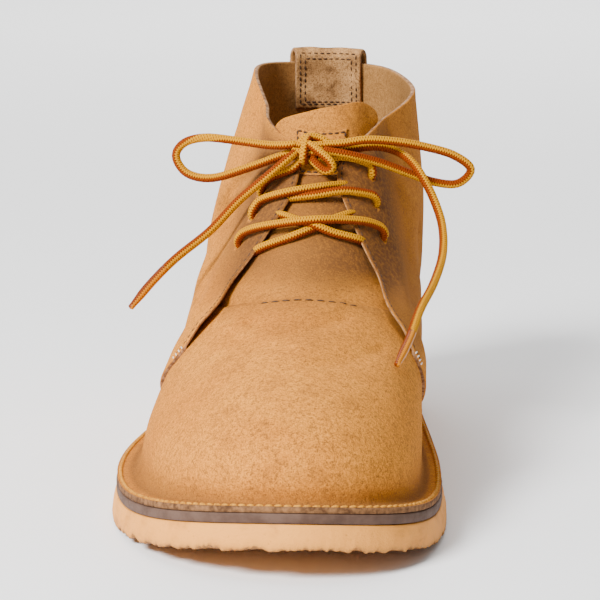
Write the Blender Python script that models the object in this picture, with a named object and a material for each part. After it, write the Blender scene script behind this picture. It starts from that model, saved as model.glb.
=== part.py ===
"""Chukka boot, one right boot, stitched down on a wedge sole.

Metres, +Z up. The toe points to -Y, the heel to +Y, and +X is the medial side, the inside of
the foot. The origin is on the floor under the middle of the heel's flat.
"""
import math
from collections import namedtuple

import bmesh
import bpy
from mathutils import Vector

# Sizes of the last that the sections are shares of
FOOT_LENGTH = 0.281
BALL_WIDTH = 0.100
INSTEP_HEIGHT = 0.0580
SHAFT_HEIGHT = 0.1247
HEEL_BACK = 0.033
TOE_SWING = 0.003
THROAT_SHIFT = 0.0023

# Leather and how it is turned out over the sole
LEATHER = 0.0020
FLANGE_WIDTH = 0.0090
HEEL_FLANGE_WIDTH = 0.0070
FEATHER_BEND = 0.0065
BEND_TOP_LEVEL = 0.38
GAP = 0.0003
BOND = 0.0004

# Sole
OUTSOLE_THICKNESS = 0.0088
HEEL_RISE = 0.0040
MIDSOLE_THICKNESS = 0.0032
INSOLE_THICKNESS = 0.0030
INSOLE_INSET = 0.0014
TOE_SPRING = 0.0098
ARCH_RISE = 0.0016
SOLE_FLARE = 0.0016
SOLE_STEP = 0.0003
LUG_DEPTH = 0.0018
LUG_LENGTH = 0.0035

# Throat, lapped edges and tongue
LAP_WIDTH = 0.018
LAP_FADE = 0.016
TACK_LEVEL = 2.6
SEAM_LEVEL = 3.85
SEAM_DROP = 0.85
SEAM_GAP = 0.045
SEAM_DROP_ANGLE = math.radians(62.0)
COLLAR_LEVEL = 7.0
TONGUE_TOP_LEVEL = 7.80
TONGUE_PEAK = 0.30
TONGUE_SLOPES = (0.40, 1.30)
TONGUE_THICKNESS = 0.0017
TONGUE_LAP = 0.016
TONGUE_TOP_ANGLES = (math.radians(43.0), math.radians(62.0))
PATCH_LEVELS = (6.05, 7.20)
PATCH_WIDTHS = (0.0120, 0.0178)
PATCH_THICKNESS = 0.0010

# Eyelets and heel tab
EYELET_DIAMETER = 0.0040
EYELET_SETBACK = 0.0145
TAB_WIDTH = 0.028
TAB_THICKNESS = 0.0018
TAB_STAND = 0.0022
TAB_CLEARANCE = 0.0006

# Laces
LACE_DIAMETER = 0.0032
LACE_CLEARANCE = 0.0004
LACE_POINT_STEP = 0.0060
TIP_LENGTH = 0.021
KNOT_CENTRE = (-0.0007, -0.0912, 0.1157)
KNOT_HALF_WIDTH = 0.0045
KNOT_CORE_DIAMETER = 0.0056
KNOT_RING = (0.0030, 0.0043)
KNOT_SLOPE = math.radians(40.0)

# Plan stations that a section's half widths are given at, as angles round its ring
STATION_STEP = math.pi / 6.0

# One row for each ring of the last, from the feather line up. front is the distance of the
# ring's front end from the heel end of the feather line and back is how far its back end lies
# behind that line, as shares of FOOT_LENGTH. rise is the height of the front end as a share of
# INSTEP_HEIGHT. heel, crown and lean are shares of SHAFT_HEIGHT: the height of the back end, how
# far the ring's middle stands above its plane, and how far its medial side dips. lateral and
# medial are half widths at five stations from front to back, as shares of BALL_WIDTH. facing is
# the angle of the quarter's front edge in degrees.
Section = namedtuple("Section", "front back rise heel crown lean lateral medial facing")
SECTIONS = (
    Section(1.000, 0.000, 0.000, 0.000, 0.000, 0.000,
            (0.338, 0.528, 0.495, 0.345, 0.260), (0.303, 0.402, 0.350, 0.305, 0.255), 99.0),
    Section(0.995, 0.014, 0.330, 0.136, 0.000, 0.000,
            (0.318, 0.488, 0.465, 0.355, 0.280), (0.292, 0.402, 0.370, 0.327, 0.275), 82.0),
    Section(0.932, 0.020, 0.615, 0.268, 0.000, 0.000,
            (0.237, 0.398, 0.440, 0.362, 0.285), (0.225, 0.372, 0.385, 0.345, 0.280), 66.0),
    Section(0.801, 0.018, 0.824, 0.390, 0.000, 0.000,
            (0.158, 0.333, 0.428, 0.370, 0.275), (0.155, 0.322, 0.385, 0.352, 0.275), 54.0),
    Section(0.633, 0.014, 1.000, 0.503, 0.000, 0.000,
            (0.155, 0.318, 0.412, 0.368, 0.255), (0.155, 0.306, 0.380, 0.352, 0.260), 43.0),
    Section(0.509, 0.005, 1.353, 0.679, 0.008, 0.005,
            (0.158, 0.285, 0.370, 0.346, 0.235), (0.158, 0.282, 0.374, 0.348, 0.240), 19.5),
    Section(0.445, -0.005, 1.582, 0.856, 0.032, 0.020,
            (0.140, 0.235, 0.305, 0.308, 0.215), (0.144, 0.246, 0.348, 0.330, 0.220), 12.5),
    Section(0.406, -0.014, 1.758, 1.000, 0.068, 0.045,
            (0.120, 0.192, 0.243, 0.262, 0.190), (0.126, 0.214, 0.330, 0.305, 0.200), 27.0),
    Section(0.359, -0.021, 2.076, 1.144, 0.068, 0.045,
            (0.118, 0.186, 0.235, 0.250, 0.180), (0.126, 0.208, 0.320, 0.292, 0.190), 40.0),
)

# Levels of the wall's rows above the bend at the feather line
WALL_LEVELS = (0.70, 1.05, 1.35, 1.65, 2.00, 2.40, 2.80, 3.20, 3.60, 4.00,
               4.40, 4.80, 5.20, 5.60, 6.00, 6.35, 6.70, 7.00)

# Distances behind the quarter's front edge where vamp and quarter share their columns
LAP_PLACES = [LAP_WIDTH * share for share in (0.0, 0.2, 0.45, 0.72, 1.0)]

# Eyelets, bottom pair first: level on the lateral and on the medial quarter
EYELET_LEVELS = ((4.45, 4.60), (4.88, 5.15), (5.33, 5.78))

# Strands of the lacing that lie outside. across is -1 at the lateral facing and 1 at the medial
# one, and -2 and 2 at the eyelets behind them. lift is how many levels the strand stands above the
# line between its pair of eyelets. rise is 0 on the tongue and 1 on a quarter.
Stop = namedtuple("Stop", "across lift rise")
LACE_BAR = (
    Stop(-2.00, 0.00, 0.75), Stop(-1.70, 0.14, 1.15), Stop(-1.00, 0.26, 1.15),
    Stop(0.00, 0.31, 1.60),
    Stop(1.00, 0.29, 1.15), Stop(1.70, 0.15, 1.15), Stop(2.00, 0.00, 0.75),
)
LACE_CROSS = (
    (Stop(-0.90, 0.03, 0.05), Stop(-0.45, 0.18, 0.05), Stop(0.00, 0.30, 0.15),
     Stop(0.45, 0.40, 0.05), Stop(0.90, 0.46, 0.05)),
    (Stop(0.90, 0.10, 0.05), Stop(0.45, 0.21, 0.05), Stop(0.00, 0.30, 0.15),
     Stop(-0.45, 0.42, 0.05), Stop(-0.90, 0.50, 0.05)),
)
LACE_UPPER_CROSS = (
    (Stop(-2.00, 0.00, 0.75), Stop(-1.65, 0.24, 1.15), Stop(-1.00, 0.42, 1.15),
     Stop(0.00, 0.54, 0.60), Stop(0.86, 0.62, 0.00)),
    (Stop(2.00, 0.00, 0.75), Stop(1.65, 0.18, 1.15), Stop(1.00, 0.34, 1.15),
     Stop(0.00, 0.42, 0.60), Stop(-0.86, 0.44, 0.00)),
)
LACE_RISES = (
    (Stop(-2.00, 0.00, 0.75), Stop(-1.65, 0.28, 1.15), Stop(-1.10, 0.55, 1.25)),
    (Stop(2.00, 0.00, 0.75), Stop(1.75, 0.28, 1.15), Stop(1.10, 0.68, 1.25)),
)

# Routes of the free lace, chosen by hand, from the knot round each loop and back, and from the
# knot to the tip of each end
LOOP_ROUTES = {
    "lateral": (
        (-0.0059, -0.0912, 0.1181), (-0.0100, -0.0908, 0.1176), (-0.0170, -0.0880, 0.1174),
        (-0.0285, -0.0840, 0.1184), (-0.0401, -0.0805, 0.1190), (-0.0482, -0.0785, 0.1168),
        (-0.0515, -0.0780, 0.1116), (-0.0472, -0.0790, 0.1054), (-0.0373, -0.0815, 0.1041),
        (-0.0228, -0.0865, 0.1090), (-0.0125, -0.0888, 0.1130), (-0.0059, -0.0890, 0.1152),
    ),
    "medial": (
        (0.0046, -0.0912, 0.1181), (0.0112, -0.0913, 0.1186), (0.0200, -0.0895, 0.1197),
        (0.0305, -0.0860, 0.1187), (0.0411, -0.0825, 0.1165), (0.0518, -0.0805, 0.1132),
        (0.0583, -0.0795, 0.1079), (0.0535, -0.0795, 0.1025), (0.0445, -0.0805, 0.1032),
        (0.0355, -0.0830, 0.1067), (0.0238, -0.0880, 0.1115), (0.0128, -0.0930, 0.1148),
        (0.0048, -0.0940, 0.1162),
    ),
}
END_ROUTES = {
    "lateral": (
        (-0.0060, -0.0941, 0.1153), (-0.0095, -0.0970, 0.1125), (-0.0163, -0.0985, 0.1067),
        (-0.0265, -0.0970, 0.0978), (-0.0372, -0.0970, 0.0865), (-0.0492, -0.1010, 0.0770),
        (-0.0575, -0.1070, 0.0690), (-0.0647, -0.1130, 0.0605),
    ),
    "medial": (
        (0.0046, -0.0886, 0.1157), (0.0126, -0.0868, 0.1158), (0.0231, -0.0830, 0.1165),
        (0.0310, -0.0815, 0.1145), (0.0361, -0.0845, 0.1114), (0.0401, -0.0885, 0.1068),
        (0.0446, -0.0920, 0.0988), (0.0480, -0.0980, 0.0896), (0.0484, -0.1090, 0.0807),
        (0.0455, -0.1250, 0.0729), (0.0410, -0.1480, 0.0672), (0.0379, -0.1635, 0.0605),
        (0.0340, -0.1790, 0.0542),
    ),
}

# Colour, roughness and metallic value of each material
FINISHES = {
    "suede": ((0.50, 0.25, 0.08), 0.95, 0.0),
    "lining_leather": ((0.36, 0.20, 0.08), 0.70, 0.0),
    "midsole": ((0.11, 0.07, 0.055), 0.75, 0.0),
    "rubber": ((0.72, 0.47, 0.27), 0.65, 0.0),
    "lace": ((0.80, 0.42, 0.04), 0.60, 0.0),
    "lace_tip": ((0.50, 0.16, 0.03), 0.25, 0.0),
}


def clamp(value, low=0.0, high=1.0):
    return max(low, min(high, value))


def smooth(value):
    value = clamp(value)
    return value * value * (3.0 - 2.0 * value)


def mix(first, second, share):
    return first + (second - first) * share


def spline(values, position):
    """Smooth curve through values that stand at 0, 1, 2 and so on."""
    last = len(values) - 1
    index = int(clamp(math.floor(position), 0, last - 1))
    share = position - index
    here, after = values[index], values[index + 1]
    before = values[index - 1] if index > 0 else 2.0 * here - after
    beyond = values[index + 2] if index + 2 <= last else 2.0 * after - here
    start, end = 0.5 * (after - before), 0.5 * (beyond - here)
    square, cube = share * share, share * share * share
    return ((2 * cube - 3 * square + 1) * here + (cube - 2 * square + share) * start
            + (3 * square - 2 * cube) * after + (cube - square) * end)


def column(name, level):
    return spline([getattr(row, name) for row in SECTIONS], level)


def half_width(side, level, angle):
    """Half width of a ring at an angle from its front, as a sine series with round ends."""
    rows = [getattr(row, side) for row in SECTIONS]
    count = len(rows[0]) + 1
    stations = [spline([row[k] for row in rows], level) for k in range(count - 1)]
    total = 0.0
    for n in range(1, count):
        part = sum(w * math.sin(n * STATION_STEP * (k + 1)) for k, w in enumerate(stations))
        total += 2.0 / count * part * math.sin(n * angle)
    return total * BALL_WIDTH


def toe_y():
    return HEEL_BACK - FOOT_LENGTH


def along(share):
    """Y of a share of the feather line's length, from the toe."""
    return toe_y() + share * FOOT_LENGTH


def toe_lift(y):
    return TOE_SPRING * clamp((along(0.22) - y) / (0.25 * FOOT_LENGTH), 0.0, 1.2) ** 1.9


def sole_bottom(y):
    arch = smooth((y - along(0.44)) / (0.08 * FOOT_LENGTH))
    arch *= smooth((along(0.74) - y) / (0.08 * FOOT_LENGTH))
    return toe_lift(y) + ARCH_RISE * arch


def outsole_top(y):
    heel = smooth((y - along(0.42)) / (0.36 * FOOT_LENGTH))
    return toe_lift(y) + OUTSOLE_THICKNESS + HEEL_RISE * heel


def sole_top(y):
    """Top of the midsole with the gap that the flange keeps to it."""
    return outsole_top(y) + GAP + MIDSOLE_THICKNESS + GAP


def swing(y):
    return TOE_SWING * clamp((along(0.3) - y) / (0.3 * FOOT_LENGTH)) ** 2


def throat_shift(level, share):
    """How far the throat leans to the medial side, at a share of its ring from the front."""
    return THROAT_SHIFT * smooth((level - 3.6) / 1.6) * (1.0 - share) ** 2


def last_point(level, angle):
    """Point of the inner surface. The angle is 0 at the front and negative on the lateral side."""
    side = "lateral" if angle < 0.0 else "medial"
    turn = abs(angle)
    share = 0.5 * (1.0 - math.cos(turn))
    front = HEEL_BACK - column("front", level) * FOOT_LENGTH
    back = HEEL_BACK + column("back", level) * FOOT_LENGTH
    y = mix(front, back, share)
    reach = half_width(side, level, turn)
    x = swing(y) + throat_shift(level, share) + (-reach if angle < 0.0 else reach)
    floor = OUTSOLE_THICKNESS + MIDSOLE_THICKNESS + 2.0 * GAP
    plane = mix(column("rise", level) * INSTEP_HEIGHT, column("heel", level) * SHAFT_HEIGHT, share)
    plane += column("crown", level) * SHAFT_HEIGHT * 4.0 * share * (1.0 - share)
    if angle > 0.0:
        plane -= column("lean", level) * SHAFT_HEIGHT * math.sin(turn) ** 2
    fade = clamp(1.0 - level / 3.0)
    return Vector((x, y, floor + plane + fade * (sole_top(y) - floor)))


def surface_frame(level, angle):
    """Point of the inner surface with its outward and its upward direction."""
    point = last_point(level, angle)
    ahead = last_point(level, angle + 0.01) - last_point(level, angle - 0.01)
    up = last_point(level + 0.05, angle) - last_point(level - 0.05, angle)
    return point, ahead.cross(up).normalized(), up.normalized()


def plan_normal(angle):
    """Outward direction in plan at the feather line."""
    step = 0.01
    run = last_point(0.0, angle + step) - last_point(0.0, angle - step)
    return Vector((run.y, -run.x, 0.0)).normalized()


def outline(angle, out):
    """Plan point of the feather line moved outward."""
    return last_point(0.0, angle) + plan_normal(angle) * out


def flange_width(angle):
    """Width of the turned-out flange, narrower round the heel."""
    y = last_point(0.0, angle).y
    heel = smooth((y - along(0.45)) / (0.30 * FOOT_LENGTH))
    return mix(FLANGE_WIDTH, HEEL_FLANGE_WIDTH, heel)


def facing_angle(level):
    return math.radians(column("facing", level))


def angle_behind(level, sign, distance):
    """Angle of the point that lies a distance behind the quarter's front edge."""
    edge = facing_angle(level)
    step = 0.02
    speed = (last_point(level, sign * (edge + step)) - last_point(level, sign * edge)).length / step
    angle = edge + distance / speed
    for _ in range(3):
        reach = (last_point(level, sign * angle) - last_point(level, sign * edge)).length
        angle += (distance - reach) / speed
    return angle


def seam_level(angle):
    """Level of the vamp's top edge, an arch that drops towards the facings."""
    return SEAM_LEVEL - SEAM_DROP * clamp(abs(angle) / SEAM_DROP_ANGLE) ** 2


def seam_meeting(angle_at):
    """Level where a column whose angle changes with the level meets the seam."""
    level = SEAM_LEVEL
    for _ in range(12):
        level = 0.5 * (level + seam_level(angle_at(level)))
    return level


def bond_at(level):
    """Positive where the quarter is sewn to the vamp, negative where it lies free on it."""
    return mix(BOND, -GAP, smooth((level - TACK_LEVEL + 0.25) / 0.5))


def lap_height(level, angle):
    """How far the quarter's inner face is lifted by the vamp or tongue under it."""
    sign = -1.0 if angle < 0.0 else 1.0
    edge = facing_angle(level)
    distance = 0.0
    if abs(angle) > edge:
        distance = (last_point(level, angle) - last_point(level, sign * edge)).length
    lifted = 1.0 - smooth((distance - LAP_WIDTH) / LAP_FADE)
    return (LEATHER - bond_at(level)) * lifted


def profile_points(levels, angle_at):
    """Base rows of the turned-out flange, the bend and the wall, for one column of a shell."""
    corner_angle = angle_at(0.0)
    corner = last_point(0.0, corner_angle)
    outward = plan_normal(corner_angle)
    width = flange_width(corner_angle)
    rows = [(0.0, corner_angle, outline(corner_angle, out)) for out in
            (width, mix(width, FEATHER_BEND, 0.6))]
    rows = [(level, angle, Vector((p.x, p.y, sole_top(p.y)))) for level, angle, p in rows]
    start = corner + outward * FEATHER_BEND
    start.z = sole_top(start.y)
    top_angle = angle_at(BEND_TOP_LEVEL)
    end = last_point(BEND_TOP_LEVEL, top_angle)
    for step in range(6):
        share = step / 5.0
        bend = (start.lerp(corner, share)).lerp(corner.lerp(end, share), share)
        rows.append((share * BEND_TOP_LEVEL, mix(corner_angle, top_angle, share), bend))
    for level in levels:
        angle = angle_at(level)
        rows.append((level, angle, last_point(level, angle)))
    return rows


def grid_normals(grid, flip):
    """Normals of a grid of points by central differences."""
    columns, rows = len(grid), len(grid[0])
    normals = []
    for i in range(columns):
        line = []
        for j in range(rows):
            across = grid[min(i + 1, columns - 1)][j] - grid[max(i - 1, 0)][j]
            up = grid[i][min(j + 1, rows - 1)] - grid[i][max(j - 1, 0)]
            normal = across.cross(up).normalized()
            line.append(-normal if flip else normal)
        normals.append(line)
    return normals


def shell_mesh(name, grid, low, high, flip=False):
    """Closed mesh between two offsets of a grid, each a function of column and row."""
    normals = grid_normals(grid, flip)
    columns, rows = len(grid), len(grid[0])
    bm = bmesh.new()
    skins = []
    for offset in (low, high):
        skins.append([[bm.verts.new(grid[i][j] + normals[i][j] * offset(i, j))
                       for j in range(rows)] for i in range(columns)])
    inner, outer = skins
    for i in range(columns - 1):
        for j in range(rows - 1):
            outer_face = (outer[i][j], outer[i + 1][j], outer[i + 1][j + 1], outer[i][j + 1])
            inner_face = (inner[i][j], inner[i][j + 1], inner[i + 1][j + 1], inner[i + 1][j])
            bm.faces.new(outer_face)
            bm.faces.new(inner_face)
    border = [(i, 0) for i in range(columns - 1)]
    border += [(columns - 1, j) for j in range(rows - 1)]
    border += [(i, rows - 1) for i in range(columns - 1, 0, -1)]
    border += [(0, j) for j in range(rows - 1, 0, -1)]
    for here, after in zip(border, border[1:] + border[:1]):
        a, b = here, after
        bm.faces.new((outer[b[0]][b[1]], outer[a[0]][a[1]],
                      inner[a[0]][a[1]], inner[b[0]][b[1]]))
    bmesh.ops.recalc_face_normals(bm, faces=bm.faces)
    mesh = bpy.data.meshes.new(name)
    bm.to_mesh(mesh)
    bm.free()
    return mesh


def make_material(name):
    colour, roughness, metallic = FINISHES[name]
    material = bpy.data.materials.new(name)
    material.use_nodes = True
    shader = material.node_tree.nodes["Principled BSDF"]
    shader.inputs["Base Color"].default_value = (*colour, 1.0)
    shader.inputs["Roughness"].default_value = roughness
    shader.inputs["Metallic"].default_value = metallic
    material.diffuse_color = (*colour, 1.0)
    return material


def add_object(name, mesh, material, collection, sharp=35.0):
    """Object for a finished mesh, shaded smooth up to an angle."""
    item = bpy.data.objects.new(name, mesh)
    mesh.materials.append(material)
    mesh.shade_smooth()
    mesh.set_sharp_from_angle(angle=math.radians(sharp))
    collection.objects.link(item)
    return item


def add_cutter(name, mesh, collection):
    item = bpy.data.objects.new(name, mesh)
    item.hide_render = True
    item.display_type = "WIRE"
    collection.objects.link(item)
    return item


def add_boolean(item, other, operation):
    modifier = item.modifiers.new(operation.lower(), "BOOLEAN")
    modifier.operation = operation
    modifier.solver = "EXACT"
    modifier.object = other
    return modifier


def quarter_columns():
    """Signed places round the boot from the lateral facing by the back to the medial one."""
    near = LAP_PLACES + [LAP_WIDTH + LAP_FADE * share for share in (0.33, 0.66, 1.0)]
    far = [step / 10.0 for step in range(1, 11)]
    side = [("near", d) for d in near] + [("far", s) for s in far]
    lateral = [(-1.0, kind, value) for kind, value in side]
    medial = [(1.0, kind, value) for kind, value in side[:-1]]
    return lateral + medial[::-1]


def place_angle(place, level):
    """Signed angle of a place: in front of the facing, a distance behind it, or beyond the lap."""
    sign, kind, value = place
    if kind == "front":
        return sign * value * facing_angle(level)
    if kind == "near":
        return sign * angle_behind(level, sign, value)
    start = angle_behind(level, sign, LAP_WIDTH + LAP_FADE)
    return sign * mix(start, math.pi, value)


def quarters_mesh():
    """Both quarters in one, lapped over the vamp and tongue at the front."""
    places = quarter_columns()
    table = [profile_points(WALL_LEVELS, lambda level, p=place: place_angle(p, level))
             for place in places]
    grid = [[point for _, _, point in rows] for rows in table]

    def low(i, j):
        level, angle, _ = table[i][j]
        return lap_height(level, angle)

    def high(i, j):
        return low(i, j) + LEATHER

    return shell_mesh("quarters", grid, low, high, flip=True)


def vamp_mesh():
    """Vamp from edge to edge over the toe, skived where the quarters lap it."""
    count = 10
    side = [("near", d) for d in LAP_PLACES[::-1]]
    side += [("front", step / count) for step in range(count - 1, 0, -1)]
    places = [(-1.0, kind, value) for kind, value in side] + [(1.0, "front", 0.0)]
    places += [(1.0, kind, value) for kind, value in side[::-1]]
    rows = 10
    table = []
    for place in places:
        def angle_at(level, p=place):
            return place_angle(p, level)
        top = seam_meeting(angle_at)
        levels = [mix(BEND_TOP_LEVEL, top, (row + 1) / rows) for row in range(rows)]
        table.append(profile_points(levels, angle_at))
    grid = [[point for _, _, point in rows] for rows in table]

    def high(i, j):
        level, angle, _ = table[i][j]
        return min(LEATHER, lap_height(level, angle) + bond_at(level))

    return shell_mesh("vamp", grid, lambda i, j: 0.0, high)


def tongue_mesh():
    """Tongue under the facings, rounded at its top, with the sewn patch as a low step."""
    half = 8
    shares = [step / half for step in range(-half, half + 1)]
    rows = 15

    def top_level(share):
        slope = TONGUE_SLOPES[0] if share < TONGUE_PEAK else TONGUE_SLOPES[1]
        return TONGUE_TOP_LEVEL - slope * (share - TONGUE_PEAK) ** 2 - 0.12 * share ** 8

    def side_angle(level, sign):
        lapped = angle_behind(min(level, COLLAR_LEVEL - 0.8), sign, TONGUE_LAP)
        free = TONGUE_TOP_ANGLES[0] if sign < 0.0 else TONGUE_TOP_ANGLES[1]
        return mix(lapped, free, smooth((level - 6.2) / 1.2))

    table = []
    for share in shares:
        sign = -1.0 if share < 0.0 else 1.0
        start = seam_meeting(lambda level, s=share, g=sign: s * side_angle(level, g))
        line = []
        for row in range(rows):
            level = mix(start + SEAM_GAP, top_level(share), row / (rows - 1.0))
            angle = share * side_angle(level, sign)
            line.append((level, angle, last_point(level, angle)))
        table.append(line)
    grid = [[point for _, _, point in line] for line in table]
    slack = LEATHER - TONGUE_THICKNESS

    def high(i, j):
        level, angle, _ = table[i][j]
        covered = level < COLLAR_LEVEL
        lift = lap_height(min(level, COLLAR_LEVEL), angle) - GAP if covered else LEATHER
        return min(LEATHER, max(lift, 0.6 * LEATHER))

    return shell_mesh("tongue", grid, lambda i, j: slack, high)


def patch_mesh():
    """Square patch sewn on the tongue where the quarters leave it free."""
    grid = []
    for step in range(-3, 4):
        share = step / 3.0
        line = []
        for row in range(6):
            level = mix(PATCH_LEVELS[0], PATCH_LEVELS[1], row / 5.0)
            reach = 0.5 * mix(PATCH_WIDTHS[0], PATCH_WIDTHS[1], row / 5.0) * share
            start = last_point(level, 0.0)
            speed = (last_point(level, 0.1) - start).length / 0.1
            line.append(last_point(level, reach / speed))
        grid.append(line)
    low = LEATHER + GAP
    return shell_mesh("tongue_patch", grid, lambda i, j: low, lambda i, j: low + PATCH_THICKNESS)


def heel_tab_mesh():
    """Pull tab folded over the back of the collar, sewn inside and outside."""
    across = [step / 3.0 for step in range(-3, 4)]
    outside, inside = (6.05, 6.4, 6.7, 6.95), (6.95, 6.6, 6.25, 5.85)
    grid = []
    for share in across:
        sign = -1.0 if share < 0.0 else 1.0
        reach = abs(share) * 0.5 * TAB_WIDTH
        line = []
        frames = {}
        for level in set(outside + inside + (COLLAR_LEVEL,)):
            angle = math.pi
            side = "lateral" if sign < 0.0 else "medial"
            while half_width(side, level, angle) < reach:
                angle -= 0.004
            frames[level] = surface_frame(level, sign * angle)
        for level in outside:
            point, normal, _ = frames[level]
            line.append(point + normal * (LEATHER + TAB_CLEARANCE))
        point, normal, up = frames[COLLAR_LEVEL]
        middle = 0.5 * LEATHER
        for step in range(5):
            turn = math.pi * step / 4.0
            out = middle + (middle + TAB_CLEARANCE) * math.cos(turn)
            lift = TAB_CLEARANCE + TAB_STAND * (0.35 + 0.65 * math.sin(turn))
            line.append(point + normal * out + up * lift)
        for level in inside:
            point, normal, _ = frames[level]
            line.append(point - normal * TAB_CLEARANCE)
        grid.append(line)
    return shell_mesh("pull_tab", grid, lambda i, j: 0.0, lambda i, j: TAB_THICKNESS, flip=True)


def sole_angles(count):
    return [math.pi * step / count for step in range(count + 1)]


def slab_mesh(name, rings, count):
    """Closed slab from rings that run down its side. The first ring's cap and the last one's
    cap are strips between the lateral and the medial side."""
    bm = bmesh.new()
    verts = []
    for ring in rings:
        lateral = [ring(-angle, k) for k, angle in enumerate(sole_angles(count))]
        medial = [ring(angle, k) for k, angle in enumerate(sole_angles(count))]
        loop = [bm.verts.new(p) for p in lateral]
        loop += [bm.verts.new(p) for p in medial[-2:0:-1]]
        verts.append(loop)
    total = len(verts[0])
    for upper, lower in zip(verts, verts[1:]):
        for k in range(total):
            after = (k + 1) % total
            bm.faces.new((upper[k], upper[after], lower[after], lower[k]))
    for loop, top in ((verts[0], True), (verts[-1], False)):
        for k in range(count):
            left, left_next = loop[k], loop[k + 1]
            right, right_next = loop[(total - k) % total], loop[total - k - 1]
            corners = [left, left_next, right_next, right]
            corners = [v for n, v in enumerate(corners) if v not in corners[:n]]
            bm.faces.new(corners if top else corners[::-1])
    bmesh.ops.recalc_face_normals(bm, faces=bm.faces)
    mesh = bpy.data.meshes.new(name)
    bm.to_mesh(mesh)
    bm.free()
    return mesh


def ring_at(out, height, wave=0.0, inside=False):
    """Ring function for a slab: offset past the flange or the feather line, height function and
    lift of every other point."""
    def ring(angle, k):
        p = outline(angle, out + (0.0 if inside else flange_width(angle)))
        return Vector((p.x, p.y, height(p.y) + (wave if k % 2 else 0.0)))
    return ring


def outsole_mesh():
    """Wedge outsole with toe spring, flared side and lugs notched into its lower edge."""
    edge = SOLE_STEP
    low = edge + SOLE_FLARE
    rings = (
        ring_at(edge, outsole_top),
        ring_at(mix(edge, low, 0.7), lambda y: mix(sole_bottom(y), outsole_top(y), 0.45)),
        ring_at(low, lambda y: sole_bottom(y) + LUG_DEPTH),
        ring_at(low - 0.0007, sole_bottom, LUG_DEPTH * 0.85),
        ring_at(low - LUG_LENGTH, sole_bottom),
    )
    return slab_mesh("outsole", rings, 72)


def midsole_mesh():
    rings = (
        ring_at(SOLE_STEP, lambda y: outsole_top(y) + GAP + MIDSOLE_THICKNESS),
        ring_at(SOLE_STEP, lambda y: outsole_top(y) + GAP),
    )
    return slab_mesh("midsole", rings, 48)


def insole_mesh():
    rings = (
        ring_at(-INSOLE_INSET, lambda y: sole_top(y) + INSOLE_THICKNESS, inside=True),
        ring_at(-INSOLE_INSET, sole_top, inside=True),
    )
    return slab_mesh("insole", rings, 40)


def eyelet_cutter(name, level, sign):
    """Round punch through a quarter, square to its surface."""
    angle = sign * angle_behind(level, sign, EYELET_SETBACK)
    point, normal, _ = surface_frame(level, angle)
    bm = bmesh.new()
    bmesh.ops.create_cone(bm, cap_ends=True, segments=12, radius1=EYELET_DIAMETER / 2,
                          radius2=EYELET_DIAMETER / 2, depth=4.0 * LEATHER)
    turn = normal.to_track_quat("Z", "Y").to_matrix().to_4x4()
    bmesh.ops.transform(bm, matrix=turn, verts=bm.verts)
    bmesh.ops.translate(bm, vec=point + normal * 1.5 * LEATHER, verts=bm.verts)
    mesh = bpy.data.meshes.new(name)
    bm.to_mesh(mesh)
    bm.free()
    return mesh


def strand_points(row, stops):
    """Points of a lace strand over one pair of eyelets."""
    over_tongue = LEATHER + LACE_CLEARANCE + 0.5 * LACE_DIAMETER
    over_quarter = over_tongue + LEATHER + GAP
    points = []
    for stop in stops:
        sign = -1.0 if stop.across < 0.0 else 1.0
        level = mix(*EYELET_LEVELS[row], (stop.across + 2.0) / 4.0) + stop.lift
        if abs(stop.across) <= 1.0:
            angle = stop.across * facing_angle(level)
        else:
            angle = sign * angle_behind(level, sign, (abs(stop.across) - 1.0) * EYELET_SETBACK)
        point, normal, _ = surface_frame(level, angle)
        points.append(point + normal * mix(over_tongue, over_quarter, stop.rise))
    return points


def curve_through(points, step):
    """Points a step apart on a smooth curve through the given ones."""
    points = [Vector(p) for p in points]
    fine = []
    for index in range(len(points) - 1):
        fine += [spline(points, index + share / 24.0) for share in range(24)]
    fine.append(points[-1])
    total = sum((b - a).length for a, b in zip(fine, fine[1:]))
    count = max(2, round(total / step))
    return divide(fine, count)


def divide(line, count):
    """Points that cut a fine line into equal lengths."""
    lengths = [0.0]
    for a, b in zip(line, line[1:]):
        lengths.append(lengths[-1] + (b - a).length)
    result = []
    index = 0
    for step in range(count + 1):
        target = lengths[-1] * step / count
        while index < len(line) - 2 and lengths[index + 1] < target:
            index += 1
        share = (target - lengths[index]) / (lengths[index + 1] - lengths[index])
        result.append(line[index].lerp(line[index + 1], share))
    return result


def tube_mesh(name, points, diameter=LACE_DIAMETER, closed=False):
    """Round tube through points, its caps welded."""
    curve = bpy.data.curves.new(name, "CURVE")
    curve.dimensions = "3D"
    curve.bevel_depth = 0.5 * diameter
    curve.bevel_resolution = 2
    curve.use_fill_caps = True
    line = curve.splines.new("POLY")
    line.points.add(len(points) - 1)
    line.use_cyclic_u = closed
    for target, point in zip(line.points, points):
        target.co = (*point, 1.0)
    holder = bpy.data.objects.new(name, curve)
    bpy.context.scene.collection.objects.link(holder)
    graph = bpy.context.evaluated_depsgraph_get()
    mesh = bpy.data.meshes.new_from_object(holder.evaluated_get(graph))
    bpy.data.objects.remove(holder, do_unlink=True)
    bm = bmesh.new()
    bm.from_mesh(mesh)
    bmesh.ops.remove_doubles(bm, verts=bm.verts, dist=0.00001)
    bmesh.ops.recalc_face_normals(bm, faces=bm.faces)
    bm.to_mesh(mesh)
    bm.free()
    mesh.materials.clear()
    return mesh


def cut_tip(route):
    """Points of an end of the lace and of the tip on it, a gap apart."""
    line = curve_through(route, 0.0003)
    count = len(line) - 1
    length = sum((b - a).length for a, b in zip(line, line[1:]))
    cut = round(count * (1.0 - TIP_LENGTH / length))
    lace, tip = line[:cut], line[cut + 1:]
    lace_count = round((length - TIP_LENGTH) / LACE_POINT_STEP)
    return divide(lace, lace_count), divide(tip, 4)


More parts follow.
